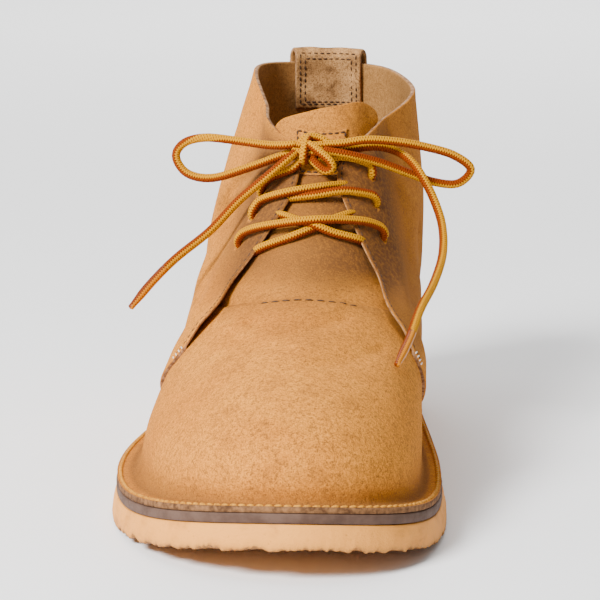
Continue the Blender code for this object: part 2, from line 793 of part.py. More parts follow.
def knot_place(across, up, out):
    """Point by the knot: across the foot, up along the tongue and out from it."""
    sine, cosine = math.sin(KNOT_SLOPE), math.cos(KNOT_SLOPE)
    return Vector(KNOT_CENTRE) + Vector((across, up * cosine - out * sine, up * sine + out * cosine))


def knot_meshes():
    """Core, turn and bight of the knot."""
    half = KNOT_HALF_WIDTH
    core = tube_mesh("knot_core", [knot_place(x, 0.0, 0.0) for x in (-half, 0.0, half)],
                     KNOT_CORE_DIAMETER)
    deep, tall = KNOT_RING
    ring = []
    for step in range(16):
        turn = 2.0 * math.pi * step / 16.0
        ring.append(knot_place(-0.3 * half, tall * math.sin(turn), deep * math.cos(turn)))
    bight = [knot_place(*place) for place in
             ((-0.0010, -0.0005, 0.0022), (0.0026, -0.0042, 0.0028), (0.0074, -0.0076, 0.0018))]
    return core, [tube_mesh("knot_turn", ring, closed=True),
                  tube_mesh("knot_bight", curve_through(bight, 0.0025))]


def add_laces(materials, parts, cutters):
    """Strands over the eyelets as joined solids, then the knot, loops, ends and tips."""
    lace = materials["lace"]

    def add_joined(name, mesh, others):
        item = add_object(name, mesh, lace, parts)
        for number, other in enumerate(others):
            add_boolean(item, add_cutter(f"{name}_{number}", other, cutters), "UNION")

    def strand(name, row, stops, end=()):
        points = curve_through(strand_points(row, stops) + list(end), LACE_POINT_STEP * 0.8)
        return tube_mesh(name, points)

    add_object("lace_bar", strand("lace_bar", 0, LACE_BAR), lace, parts)
    add_joined("lace_cross", strand("lace_cross", 0, LACE_CROSS[0]),
               [strand("cross_strand", 0, LACE_CROSS[1])])
    add_joined("lace_upper_cross", strand("lace_upper_cross", 1, LACE_UPPER_CROSS[0]),
               [strand("upper_cross_strand", 1, LACE_UPPER_CROSS[1])])
    for sign, side, stops in ((-1.0, "lateral", LACE_RISES[0]), (1.0, "medial", LACE_RISES[1])):
        low = -0.6 * LACE_DIAMETER
        end = knot_place(sign * (KNOT_HALF_WIDTH + 8.0 * GAP), low, low)
        add_object(f"lace_rise_{side}", strand(f"lace_rise_{side}", 2, stops, [end]), lace, parts)
    core, others = knot_meshes()
    add_joined("lace_knot", core, others)
    for side, route in LOOP_ROUTES.items():
        name = f"lace_loop_{side}"
        add_object(name, tube_mesh(name, curve_through(route, LACE_POINT_STEP)), lace, parts)
    for side, route in END_ROUTES.items():
        free, tip = cut_tip(route)
        add_object(f"lace_end_{side}", tube_mesh(f"lace_end_{side}", free), lace, parts)
        add_object(f"lace_tip_{side}", tube_mesh(f"lace_tip_{side}", tip), materials["lace_tip"],
                   parts)


def clear_scene():
    for item in list(bpy.data.objects):
        bpy.data.objects.remove(item, do_unlink=True)


def build():
    clear_scene()
    parts = bpy.data.collections.new("chukka_boot")
    cutters = bpy.data.collections.new("cutters")
    bpy.context.scene.collection.children.link(parts)
    bpy.context.scene.collection.children.link(cutters)
    materials = {name: make_material(name) for name in FINISHES}

    add_object("outsole", outsole_mesh(), materials["rubber"], parts)
    add_object("midsole", midsole_mesh(), materials["midsole"], parts)
    add_object("insole", insole_mesh(), materials["lining_leather"], parts)
    upper = add_object("upper", quarters_mesh(), materials["suede"], parts)
    add_boolean(upper, add_cutter("vamp", vamp_mesh(), cutters), "UNION")
    for row, levels in enumerate(EYELET_LEVELS):
        for sign, level in zip((-1.0, 1.0), levels):
            name = f"eyelet_{row}_{'lateral' if sign < 0.0 else 'medial'}"
            add_boolean(upper, add_cutter(name, eyelet_cutter(name, level, sign), cutters),
                        "DIFFERENCE")
    add_object("tongue", tongue_mesh(), materials["suede"], parts)
    add_object("tongue_patch", patch_mesh(), materials["suede"], parts)
    add_object("pull_tab", heel_tab_mesh(), materials["suede"], parts)
    add_laces(materials, parts, cutters)


build()
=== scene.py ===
"""Looks of one right chukka boot: suede upper, dark midsole, crepe wedge and a round two-tone lace.

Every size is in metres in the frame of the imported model: the toe points to -Y, the medial side is
+X, and the floor is at zero. The shape of the last is worked out from the same sections as the
solids, so each fine piece lies where its solid lies.
"""

import logging
import math
from collections.abc import Sequence
from dataclasses import dataclass, field
from enum import Enum

import bmesh
import bpy
import numpy as np
from mathutils import Matrix, Vector, noise

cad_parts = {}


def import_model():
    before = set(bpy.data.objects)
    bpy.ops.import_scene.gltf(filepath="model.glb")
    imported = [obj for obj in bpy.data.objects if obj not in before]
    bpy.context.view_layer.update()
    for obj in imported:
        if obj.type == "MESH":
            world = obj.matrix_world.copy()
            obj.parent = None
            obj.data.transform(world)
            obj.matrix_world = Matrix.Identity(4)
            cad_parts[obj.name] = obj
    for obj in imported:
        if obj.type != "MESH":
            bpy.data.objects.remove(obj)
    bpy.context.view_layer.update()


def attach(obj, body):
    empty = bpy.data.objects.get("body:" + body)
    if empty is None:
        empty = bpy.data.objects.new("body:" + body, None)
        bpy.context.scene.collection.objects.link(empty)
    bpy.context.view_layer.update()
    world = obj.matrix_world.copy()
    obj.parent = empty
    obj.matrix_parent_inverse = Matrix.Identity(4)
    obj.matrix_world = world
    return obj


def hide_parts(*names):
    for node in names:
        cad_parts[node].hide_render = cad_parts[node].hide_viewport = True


LOG = logging.getLogger("chukka_boot")
Array = np.ndarray
Triple = tuple[float, float, float]
Route = tuple[Triple, ...]
Socket = bpy.types.NodeSocket
Material = bpy.types.Material
Mesh = bpy.types.Mesh
BODY = "root"


class Side(Enum):
    """Side of the boot, with the sign of X there."""

    LATERAL = -1.0
    MEDIAL = 1.0


class Kind(Enum):
    """How a column of the upper is placed round the boot."""

    FRONT = 0
    BEHIND = 1
    BEYOND = 2


class Skin(Enum):
    """Face of a leather piece, with its place in the piece's list of materials."""

    OUTER = 0
    INNER = 1
    CUT = 2
    FLANGE_CUT = 3


def smooth(value: Array) -> Array:
    """Soft step from 0 to 1."""
    value = np.clip(value, 0.0, 1.0)
    return value * value * (3.0 - 2.0 * value)


def mix(first: Array, second: Array, share: Array) -> Array:
    """Value between two others."""
    return first + (second - first) * share


def through(values: Array, position: Array) -> Array:
    """Smooth curve through values that stand at 0, 1, 2 and so on.

    Args:
        values: The values, one row each.
        position: Where the curve is read, in rows.

    Returns:
        The curve's values, with the shape of position in front.
    """
    last = len(values) - 1
    position = np.asarray(position, dtype=float)
    index = np.clip(np.floor(position), 0, last - 1).astype(int)
    share = (position - index).reshape(position.shape + (1,) * (values.ndim - 1))
    wide = np.concatenate([[2 * values[0] - values[1]], values, [2 * values[-1] - values[-2]]])
    before, here, after, beyond = (wide[index + step] for step in range(4))
    start, end = 0.5 * (after - before), 0.5 * (beyond - here)
    square, cube = share ** 2, share ** 3
    return ((2 * cube - 3 * square + 1) * here + (cube - 2 * square + share) * start
            + (3 * square - 2 * cube) * after + (cube - square) * end)


def lengths(points: Array) -> Array:
    """Length of a line up to each of its points."""
    steps = np.linalg.norm(np.diff(points, axis=0), axis=1)
    return np.concatenate([[0.0], np.cumsum(steps)])


def even(points: Sequence[Sequence[float]], step: float) -> Array:
    """Evenly spaced points on a smooth curve through the given ones.

    Args:
        points: Given points.
        step: Spacing of the result in metres.

    Returns:
        The points, one row each.
    """
    points = np.array([list(point) for point in points], dtype=float)
    fine = through(points, np.linspace(0.0, len(points) - 1.0, 40 * len(points)))
    run = lengths(fine)
    count = max(3, round(run[-1] / step)) + 1
    marks = np.linspace(0.0, run[-1], count)
    return np.stack([np.interp(marks, run, fine[:, axis]) for axis in range(3)], axis=1)


def soft_noise(points: Array, scale: float, seed: float) -> Array:
    """Smooth noise from -1 to 1 at points, with its waves per metre and a shift."""
    return np.array([noise.noise(Vector(point) * scale + Vector((seed, seed, seed)))
                     for point in points])


@dataclass(frozen=True)
class Section:
    """One ring of the last, in the shares that the solids' source uses."""

    front: float
    back: float
    rise: float
    heel: float
    crown: float
    lean: float
    lateral: tuple[float, ...]
    medial: tuple[float, ...]
    facing: float


@dataclass
class Last:
    """Shape of the foot side of the upper, from the feather line up.

    A point is named by its level, from 0 at the feather line to 7 at the collar, and by its angle
    round the ring, 0 at the front and negative on the lateral side.
    """

    length: float = 0.281
    ball: float = 0.100
    instep: float = 0.0580
    shaft: float = 0.1247
    heel_back: float = 0.033
    toe_swing: float = 0.003
    throat_shift: float = 0.0023
    outsole: float = 0.0088
    heel_rise: float = 0.0040
    midsole: float = 0.0032
    gap: float = 0.0003
    toe_spring: float = 0.0098
    arch_rise: float = 0.0016
    flange: float = 0.0090
    heel_flange: float = 0.0070
    feather_bend: float = 0.0065
    bend_top: float = 0.38
    sections: tuple[Section, ...] = (
        Section(1.000, 0.000, 0.000, 0.000, 0.000, 0.000,
                (0.338, 0.528, 0.495, 0.345, 0.260), (0.303, 0.402, 0.350, 0.305, 0.255), 99.0),
        Section(0.995, 0.014, 0.330, 0.136, 0.000, 0.000,
                (0.318, 0.488, 0.465, 0.355, 0.280), (0.292, 0.402, 0.370, 0.327, 0.275), 82.0),
        Section(0.932, 0.020, 0.615, 0.268, 0.000, 0.000,
                (0.237, 0.398, 0.440, 0.362, 0.285), (0.225, 0.372, 0.385, 0.345, 0.280), 66.0),
        Section(0.801, 0.018, 0.824, 0.390, 0.000, 0.000,
                (0.158, 0.333, 0.428, 0.370, 0.275), (0.155, 0.322, 0.385, 0.352, 0.275), 54.0),
        Section(0.633, 0.014, 1.000, 0.503, 0.000, 0.000,
                (0.155, 0.318, 0.412, 0.368, 0.255), (0.155, 0.306, 0.380, 0.352, 0.260), 43.0),
        Section(0.509, 0.005, 1.353, 0.679, 0.008, 0.005,
                (0.158, 0.285, 0.370, 0.346, 0.235), (0.158, 0.282, 0.374, 0.348, 0.240), 19.5),
        Section(0.445, -0.005, 1.582, 0.856, 0.032, 0.020,
                (0.140, 0.235, 0.305, 0.308, 0.215), (0.144, 0.246, 0.348, 0.330, 0.220), 11.5),
        Section(0.406, -0.014, 1.758, 1.000, 0.068, 0.045,
                (0.120, 0.192, 0.243, 0.262, 0.190), (0.126, 0.214, 0.330, 0.305, 0.200), 21.0),
        Section(0.359, -0.021, 2.076, 1.144, 0.068, 0.045,
                (0.118, 0.186, 0.235, 0.250, 0.180), (0.126, 0.208, 0.320, 0.292, 0.190), 34.0),
    )
    tables: dict[str, Array] = field(default_factory=dict)

    def __post_init__(self) -> None:
        """Turn the sections into one table for each column."""
        for name in Section.__dataclass_fields__:
            self.tables[name] = np.array([getattr(row, name) for row in self.sections])

    def column(self, name: str, level: Array) -> Array:
        """Value of one column of the sections at a level."""
        return through(self.tables[name], level)

    def along(self, share: float) -> float:
        """Y of a share of the feather line's length, from the toe."""
        return self.heel_back - self.length + share * self.length

    def toe_lift(self, y: Array) -> Array:
        """Height of the sprung toe."""
        reach = (self.along(0.22) - y) / (0.25 * self.length)
        return self.toe_spring * np.clip(reach, 0, 1.2) ** 1.9

    def sole_bottom(self, y: Array) -> Array:
        """Height of the sole's underside.

        Args:
            y: Places along the boot.

        Returns:
            The height at each place.
        """
        arch = smooth((y - self.along(0.44)) / (0.08 * self.length))
        arch = arch * smooth((self.along(0.74) - y) / (0.08 * self.length))
        return self.toe_lift(y) + self.arch_rise * arch

    def outsole_top(self, y: Array) -> Array:
        """Height of the outsole's upper face."""
        heel = smooth((y - self.along(0.42)) / (0.36 * self.length))
        return self.toe_lift(y) + self.outsole + self.heel_rise * heel

    def sole_top(self, y: Array) -> Array:
        """Height that the flange lies at."""
        return self.outsole_top(y) + self.midsole + 2.0 * self.gap

    def half_width(self, side: Side, level: Array, angle: Array) -> Array:
        """Half width of a ring at an angle from its front, a sine series with round ends.

        Args:
            side: Side of the boot.
            level: Levels of the points.
            angle: Unsigned angles of the points.

        Returns:
            The half width at each point.
        """
        stations = self.column(side.name.lower(), level)
        order = np.arange(1, 6)
        sines = np.sin(np.outer(order, order) * math.pi / 6.0)
        parts = stations @ sines / 3.0
        return self.ball * (parts * np.sin(angle[..., None] * order)).sum(axis=-1)

    def point(self, level: Array, angle: Array) -> Array:
        """Points of the inner surface.

        Args:
            level: Levels, of any shape.
            angle: Signed angles of the same shape.

        Returns:
            The points, with a last axis of three.
        """
        level, angle = np.broadcast_arrays(np.asarray(level, float), np.asarray(angle, float))
        turn = np.abs(angle)
        share = 0.5 * (1.0 - np.cos(turn))
        front = self.heel_back - self.column("front", level) * self.length
        back = self.heel_back + self.column("back", level) * self.length
        y = mix(front, back, share)
        lateral = self.half_width(Side.LATERAL, level, turn)
        medial = self.half_width(Side.MEDIAL, level, turn)
        swing = self.toe_swing * np.clip((self.along(0.3) - y) / (0.3 * self.length), 0, 1) ** 2
        swing = swing + self.throat_shift * smooth((level - 3.6) / 1.6) * (1.0 - share) ** 2
        x = swing + np.where(angle < 0.0, -lateral, medial)
        floor = self.outsole + self.midsole + 2.0 * self.gap
        plane = mix(self.column("rise", level) * self.instep,
                    self.column("heel", level) * self.shaft, share)
        plane = plane + self.column("crown", level) * self.shaft * 4.0 * share * (1.0 - share)
        lean = self.column("lean", level) * self.shaft * np.sin(turn) ** 2
        plane = plane - np.where(angle > 0.0, lean, 0.0)
        fade = np.clip(1.0 - level / 3.0, 0.0, 1.0)
        z = floor + plane + fade * (self.sole_top(y) - floor)
        return np.stack([x, y, z], axis=-1)

    def frame(self, level: Array, angle: Array) -> tuple[Array, Array, Array]:
        """Points with their outward and upward directions.

        Args:
            level: Levels of the points.
            angle: Signed angles of the points.

        Returns:
            The points, their outward directions and their upward ones.
        """
        ahead = self.point(level, angle + 0.01) - self.point(level, angle - 0.01)
        up = self.point(level + 0.05, angle) - self.point(level - 0.05, angle)
        out = np.cross(ahead, up)
        return (self.point(level, angle), out / np.linalg.norm(out, axis=-1, keepdims=True),
                up / np.linalg.norm(up, axis=-1, keepdims=True))

    def outline(self, angle: Array, out: Array) -> Array:
        """Points of the feather line, moved outward in plan.

        Args:
            angle: Signed angles of the points.
            out: Distances past the feather line.

        Returns:
            The points, at the height of the feather line.
        """
        run = self.point(0.0, angle + 0.01) - self.point(0.0, angle - 0.01)
        side = np.stack([run[..., 1], -run[..., 0], 0.0 * run[..., 0]], axis=-1)
        side = side / np.linalg.norm(side, axis=-1, keepdims=True)
        return self.point(0.0, angle) + side * np.asarray(out)[..., None]

    def flange_width(self, angle: Array) -> Array:
        """Width of the turned-out flange, narrower round the heel."""
        heel = smooth((self.point(0.0, angle)[..., 1] - self.along(0.45)) / (0.30 * self.length))
        return mix(self.flange, self.heel_flange, heel)

    def facing(self, level: Array) -> Array:
        """Angle of the quarter's front edge."""
        return np.radians(self.column("facing", level))

    def behind(self, level: Array, sign: Array, distance: Array) -> Array:
        """Unsigned angle at a distance behind the quarter's front edge.

        Args:
            level: Levels of the points.
            sign: -1 for the lateral side and 1 for the medial one.
            distance: Distances back from the edge.

        Returns:
            The angle at each level.
        """
        edge = self.facing(level)
        start = self.point(level, sign * edge)
        speed = np.linalg.norm(self.point(level, sign * (edge + 0.02)) - start, axis=-1) / 0.02
        angle = edge + distance / speed
        for _ in range(3):
            reach = np.linalg.norm(self.point(level, sign * angle) - start, axis=-1)
            angle = angle + (distance - reach) / speed
        return angle


@dataclass(frozen=True)
class Columns:
    """Columns of a part of the upper, each at its own place round the boot."""

    sign: Array
    kind: Array
    value: Array

    @staticmethod
    def join(rows: Sequence[tuple[float, Kind, float]]) -> "Columns":
        """Columns from the sign, kind and value of each."""
        parts = zip(*((sign, kind.value, value) for sign, kind, value in rows))
        return Columns(*(np.array(part)[:, None] for part in parts))


class Tree:
    """Node tree of a material, with short calls for what these finishes need."""

    def __init__(self, name: str, roughness: float) -> None:
        """Make the material with its shader.

        Args:
            name: Name of the material.
            roughness: Roughness where nothing else drives it.
        """
        self.material = bpy.data.materials.new(name)
        self.material.use_nodes = True
        self.nodes = self.material.node_tree.nodes
        self.links = self.material.node_tree.links
        self.shader = self.nodes["Principled BSDF"]
        self.shader.inputs["Roughness"].default_value = roughness
        self.place = self.nodes.new("ShaderNodeTexCoord").outputs["Object"]

    def put(self, socket: Socket, value: object) -> None:
        """Link a socket to another, or give it a number or colour.

        Args:
            socket: Input to set.
            value: Socket, number or colour to give it.
        """
        if isinstance(value, Socket):
            self.links.new(value, socket)
        elif isinstance(value, tuple) and len(value) == 3 and socket.type == "RGBA":
            socket.default_value = (*value, 1.0)
        else:
            socket.default_value = value

    def noise(self, scale: float, detail: float = 4.0, rough: float = 0.55,
              stretch: Triple | None = None) -> Socket:
        """Noise in the piece's own place.

        Args:
            scale: Waves per metre.
            detail: Octaves.
            rough: How much the fine octaves count.
            stretch: Scale along each axis, where the noise isn't even.

        Returns:
            The noise's value.
        """
        node = self.nodes.new("ShaderNodeTexNoise")
        place = self.place
        if stretch is not None:
            mapping = self.nodes.new("ShaderNodeMapping")
            mapping.inputs["Scale"].default_value = stretch
            self.links.new(place, mapping.inputs["Vector"])
            place = mapping.outputs["Vector"]
        self.links.new(place, node.inputs["Vector"])
        node.inputs["Scale"].default_value = scale
        node.inputs["Detail"].default_value = detail
        node.inputs["Roughness"].default_value = rough
        return node.outputs["Fac"]

    def span(self, value: object, low: float, high: float, first: float = 0.0,
             second: float = 1.0) -> Socket:
        """Map a value from low and high to first and second, softly.

        Args:
            value: Socket to map.
            low: Value that becomes first.
            high: Value that becomes second.
            first: Result at and below low.
            second: Result at and above high.

        Returns:
            The mapped value.
        """
        node = self.nodes.new("ShaderNodeMapRange")
        node.interpolation_type = "SMOOTHSTEP"
        self.put(node.inputs["Value"], value)
        for name, number in (("From Min", low), ("From Max", high), ("To Min", first),
                             ("To Max", second)):
            node.inputs[name].default_value = number
        return node.outputs["Result"]

    def math(self, operation: str, first: object, second: object = 0.0) -> Socket:
        """Result of a math node.

        Args:
            operation: Name of the node's operation.
            first: First operand.
            second: Second operand.

        Returns:
            The result.
        """
        node = self.nodes.new("ShaderNodeMath")
        node.operation = operation
        self.put(node.inputs[0], first)
        self.put(node.inputs[1], second)
        return node.outputs[0]

    def blend(self, share: object, first: object, second: object,
              mode: str = "MIX") -> Socket:
        """Colour between two others.

        Args:
            share: Share of the second colour.
            first: First colour.
            second: Second colour.
            mode: Way of blending.

        Returns:
            The colour.
        """
        node = self.nodes.new("ShaderNodeMix")
        node.data_type = "RGBA"
        node.blend_type = mode
        self.put(node.inputs["Factor"], share)
        self.put(node.inputs[6], first)
        self.put(node.inputs[7], second)
        return node.outputs[2]

    def attribute(self, name: str) -> Socket:
        """Value that the piece's mesh holds.

        Args:
            name: Name of the attribute.

        Returns:
            Its value.
        """
        node = self.nodes.new("ShaderNodeAttribute")
        node.attribute_name = name
        return node.outputs["Fac"]

    def bump(self, height: object, strength: float, depth: float,
             under: Socket | None = None) -> Socket:
        """Normal of a fine relief, over another one if given.

        Args:
            height: Height of the relief.
            strength: Strength of the relief.
            depth: Depth of the relief in metres.
            under: Normal under the relief.

        Returns:
            The normal.
        """
        node = self.nodes.new("ShaderNodeBump")
        node.inputs["Strength"].default_value = strength
        node.inputs["Distance"].default_value = depth
        self.put(node.inputs["Height"], height)
        if under is not None:
            self.links.new(under, node.inputs["Normal"])
        return node.outputs["Normal"]

    def finish(self, colour: object, normal: object = None, roughness: object = None,
               **constants: object) -> Material:
        """Drive the shader and return the material.

        Args:
            colour: Base colour.
            normal: Normal of the relief.
            roughness: Roughness, where it varies.
            constants: Other inputs of the shader, by name.

        Returns:
            The material.
        """
        self.put(self.shader.inputs["Base Color"], colour)
        if normal is not None:
            self.put(self.shader.inputs["Normal"], normal)
        if roughness is not None:
            self.put(self.shader.inputs["Roughness"], roughness)
        for name, value in constants.items():
            title = name.replace("_", " ").title().replace("Ior", "IOR")
            self.put(self.shader.inputs[title], value)
        return self.material


@dataclass(frozen=True)
class Suede:
    """Napped leather with mottling, flecks, rubbed places and a darkening from the mesh that is
    mostly painted shade.
    """

    name: str
    dark: Triple
    middle: Triple
    light: Triple
    fleck: float = 0.70
    stain: float = 0.22

    def material(self) -> Material:
        """Build the material.

        Returns:
            The material.
        """
        tree = Tree(self.name, 0.92)
        broad = tree.noise(17.0, 3.0)
        patch = tree.noise(120.0, 4.0, 0.6)
        nap = tree.noise(700.0, 5.0, 0.65)
        grain = tree.noise(1900.0, 4.0, 0.7)
        coarse, fine = tree.math("MULTIPLY", nap, 0.38), tree.math("MULTIPLY", grain, 0.62)
        speck = tree.math("ADD", coarse, fine)
        worn = tree.span(patch, 0.25, 0.75, 0.2, 0.7)
        rubbed = tree.math("MULTIPLY", tree.attribute("rub"), worn)
        colour = tree.blend(tree.span(broad, 0.38, 0.64, 0.0, 0.40), self.middle, self.light)
        colour = tree.blend(tree.span(patch, 0.50, 0.70, 0.0, 0.25), colour, self.light)
        colour = tree.blend(rubbed, colour, self.light)
        colour = tree.blend(tree.span(patch, 0.47, 0.30, 0.0, self.stain), colour, self.dark)
        colour = tree.blend(tree.span(speck, 0.500, 0.400, 0.0, self.fleck), colour, self.dark)
        bright = tree.blend(1.0, colour, (1.45, 1.50, 1.60), "MULTIPLY")
        colour = tree.blend(tree.span(speck, 0.505, 0.590, 0.0, self.fleck), colour, bright)
        # Darker towards the dark colour by the mesh's darkened share: painted shade in the throat,
        # on the tongue and down the medial side, and other darker places.
        dark_share = tree.math("MULTIPLY", tree.attribute("soil_and_shade"), tree.span(nap, 0.30, 0.60, 0.6, 1.0))
        colour = tree.blend(dark_share, colour, self.dark)
        normal = tree.bump(patch, 0.20, 0.0008)
        normal = tree.bump(nap, 0.50, 0.0006, normal)
        normal = tree.bump(grain, 0.60, 0.0003, normal)
        return tree.finish(colour, normal, sheen_weight=0.03, sheen_roughness=0.5,
                           sheen_tint=(1.0, 0.55, 0.18), specular_ior_level=0.05)


@dataclass(frozen=True)
class Plain:
    """Even stuff with a little mottling and a fine relief."""

    name: str
    dark: Triple
    light: Triple
    roughness: float
    scale: float
    relief: float

    def material(self) -> Material:
        """Build the material.

        Returns:
            The material.
        """
        tree = Tree(self.name, self.roughness)
        coarse = tree.noise(self.scale, 5.0, 0.6)
        fine = tree.noise(self.scale * 6.0, 4.0, 0.6)
        colour = tree.blend(tree.span(coarse, 0.32, 0.68), self.dark, self.light)
        colour = tree.blend(tree.span(fine, 0.50, 0.30, 0.0, 0.35), colour, self.dark)
        normal = tree.bump(coarse, 0.35, self.relief)
        normal = tree.bump(fine, 0.50, 0.4 * self.relief, normal)
        rough = tree.span(fine, 0.30, 0.70, self.roughness - 0.10, self.roughness + 0.08)
        return tree.finish(colour, normal, rough, specular_ior_level=0.15)


@dataclass(frozen=True)
class Crepe:
    """Natural crepe rubber, pale and pitted, darker where the mesh says: painted shade along its
    top edge, and dirt with painted shade at its lower edge and underside.
    """

    name: str = "crepe"
    dark: Triple = (0.48, 0.165, 0.027)
    light: Triple = (0.84, 0.34, 0.058)

    def material(self) -> Material:
        """Build the material.

        Returns:
            The material.
        """
        tree = Tree(self.name, 0.62)
        cloud = tree.noise(60.0, 4.0, 0.6)
        streak = tree.noise(160.0, 4.0, 0.6, (0.5, 0.5, 2.2))
        pits = tree.noise(900.0, 5.0, 0.7)
        colour = tree.blend(tree.span(cloud, 0.22, 0.52), self.dark, self.light)
        colour = tree.blend(tree.span(streak, 0.36, 0.58, 0.0, 0.65), colour, self.light)
        colour = tree.blend(tree.span(pits, 0.42, 0.26, 0.0, 0.7), colour, self.dark)
        # Darker by the mesh's darkened share, mottled by the pits. This is painted shade at the top
        # edge and dirt with painted shade low down; the near-black colour is painted shade that
        # keeps the floor's contact shadow dark.
        pit_mottle = tree.span(pits, 0.30, 0.60, 0.3, 1.0)
        dark_share = tree.math("MULTIPLY", tree.attribute("soil_and_shade"), pit_mottle)
        colour = tree.blend(dark_share, colour, (0.07, 0.04, 0.025))
        normal = tree.bump(streak, 0.30, 0.0010)
        normal = tree.bump(pits, 0.55, 0.0005, normal)
        return tree.finish(colour, normal, specular_ior_level=0.15)


@dataclass(frozen=True)
class Braid:
    """Round braided lace, one side in each of two colours, in picks that interlock."""

    name: str
    first: Triple
    second: Triple
    roughness: float = 0.62
    relief: float = 0.00022
    coat: float = 0.0

    def material(self) -> Material:
        """Build the material. The piece's UV map runs round the lace and, in turns, along it.

        Returns:
            The material.
        """
        tree = Tree(self.name, self.roughness)
        place = tree.nodes.new("ShaderNodeUVMap").outputs["UV"]
        apart = tree.nodes.new("ShaderNodeSeparateXYZ")
        tree.links.new(place, apart.inputs[0])
        around, along = apart.outputs["X"], apart.outputs["Y"]
        picks = []
        for lean in (4.0, -4.0):
            turn = tree.math("MULTIPLY_ADD", around, lean)
            turn.node.inputs[2].default_value = 0.0
            turn = tree.math("ADD", turn, tree.math("MULTIPLY", along, 3.2))
            picks.append(tree.math("SINE", tree.math("MULTIPLY", turn, 2.0 * math.pi)))
        height = tree.math("MAXIMUM", picks[0], picks[1])
        stripe = tree.math("SINE", tree.math("MULTIPLY", around, 2.0 * math.pi))
        stripe = tree.math("ADD", stripe, tree.math("MULTIPLY", picks[0], 0.12))
        fuzz = tree.noise(2600.0, 3.0)
        colour = tree.blend(tree.span(stripe, -0.06, 0.06), self.second, self.first)
        # Painted shade: the colour is darkened in the grooves between the picks, and the fuzz
        # darkens random fibres.
        deep = tree.blend(1.0, colour, (0.40, 0.24, 0.16), "MULTIPLY")
        colour = tree.blend(tree.span(height, 0.45, -0.35, 0.0, 0.75), colour, deep)
        colour = tree.blend(tree.span(fuzz, 0.50, 0.30, 0.0, 0.25), colour, deep)
        normal = tree.bump(height, 0.8, self.relief)
        normal = tree.bump(fuzz, 0.4, 0.00010, normal)
        return tree.finish(colour, normal, coat_weight=self.coat, coat_roughness=0.12,
                           specular_ior_level=0.04)


class Finishes:
    """Every material of the boot."""

    def __init__(self) -> None:
        """Build them once."""
        self.suede = Suede("suede", (0.110, 0.046, 0.018), (0.510, 0.175, 0.018),
                           (0.640, 0.250, 0.028)).material()
        self.tab_suede = Suede("tab_suede", (0.080, 0.036, 0.015), (0.470, 0.225, 0.075),
                               (0.660, 0.360, 0.140), 0.72, 0.60).material()
        self.lining = Suede("lining", (0.130, 0.060, 0.020), (0.350, 0.165, 0.048),
                            (0.450, 0.225, 0.075), 0.5).material()
        self.raw_edge = Plain("raw_edge", (0.15, 0.065, 0.026), (0.42, 0.23, 0.11), 0.85, 420.0,
                              0.0004).material()
        # The flange's cut edge is darker than the other cut edges: its own brown, darkened further
        # as painted shade under the stitched rim.
        self.flange_edge = Plain("flange_edge", (0.075, 0.032, 0.013), (0.27, 0.125, 0.048), 0.85,
                                 420.0, 0.0004).material()
        self.midsole = Plain("midsole", (0.075, 0.041, 0.028), (0.125, 0.073, 0.052), 0.7, 130.0,
                             0.0004).material()
        self.insole = Plain("insole", (0.20, 0.105, 0.045), (0.34, 0.19, 0.09), 0.6, 120.0,
                            0.0003).material()
        self.crepe = Crepe().material()
        self.lace = Braid("lace_braid", (0.62, 0.270, 0.0), (0.26, 0.045, 0.003)).material()
        self.lace_tip = Braid("lace_tip", (0.58, 0.200, 0.001), (0.19, 0.034, 0.003), 0.36,
                              0.00005, 0.30).material()
        self.gold_thread = Plain("gold_thread", (0.36, 0.14, 0.010), (0.62, 0.27, 0.022), 0.7,
                                 900.0, 0.0002).material()
        self.brown_thread = Plain("brown_thread", (0.035, 0.018, 0.010), (0.10, 0.05, 0.025), 0.6,
                                  900.0, 0.0002).material()
        self.cream_thread = Plain("cream_thread", (0.62, 0.52, 0.40), (0.88, 0.82, 0.70), 0.6,
                                  900.0, 0.0002).material()


def new_piece(name: str, mesh: Mesh, replaced: Sequence[str] = (),
              sharp: float = 180.0) -> bpy.types.Object:
    """Piece that rides on the boot.

    Args:
        name: Name of the piece.
        mesh: Its finished mesh.
        replaced: Nodes that it stands for.
        sharp: Angle in degrees from which an edge is sharp.

    Returns:
        The object.
    """
    piece = bpy.data.objects.new(name, mesh)
    bpy.context.scene.collection.objects.link(piece)
    mesh.shade_smooth()
    if sharp < 180.0:
        mesh.set_sharp_from_angle(angle=math.radians(sharp))
    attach(piece, BODY)
    if replaced:
        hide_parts(*replaced)
    LOG.info("%s: %d faces", name, len(mesh.polygons))
    return piece


def grid_normals(grid: Array, flip: bool) -> Array:
    """Unit normals of a grid of points, by central differences.

    Args:
        grid: Points in columns and rows.
        flip: Whether to turn the normals round.

    Returns:
        The normal at each point.
    """
    normal = np.cross(np.gradient(grid, axis=0), np.gradient(grid, axis=1))
    normal = normal / np.maximum(np.linalg.norm(normal, axis=-1, keepdims=True), 1e-12)
    return -normal if flip else normal


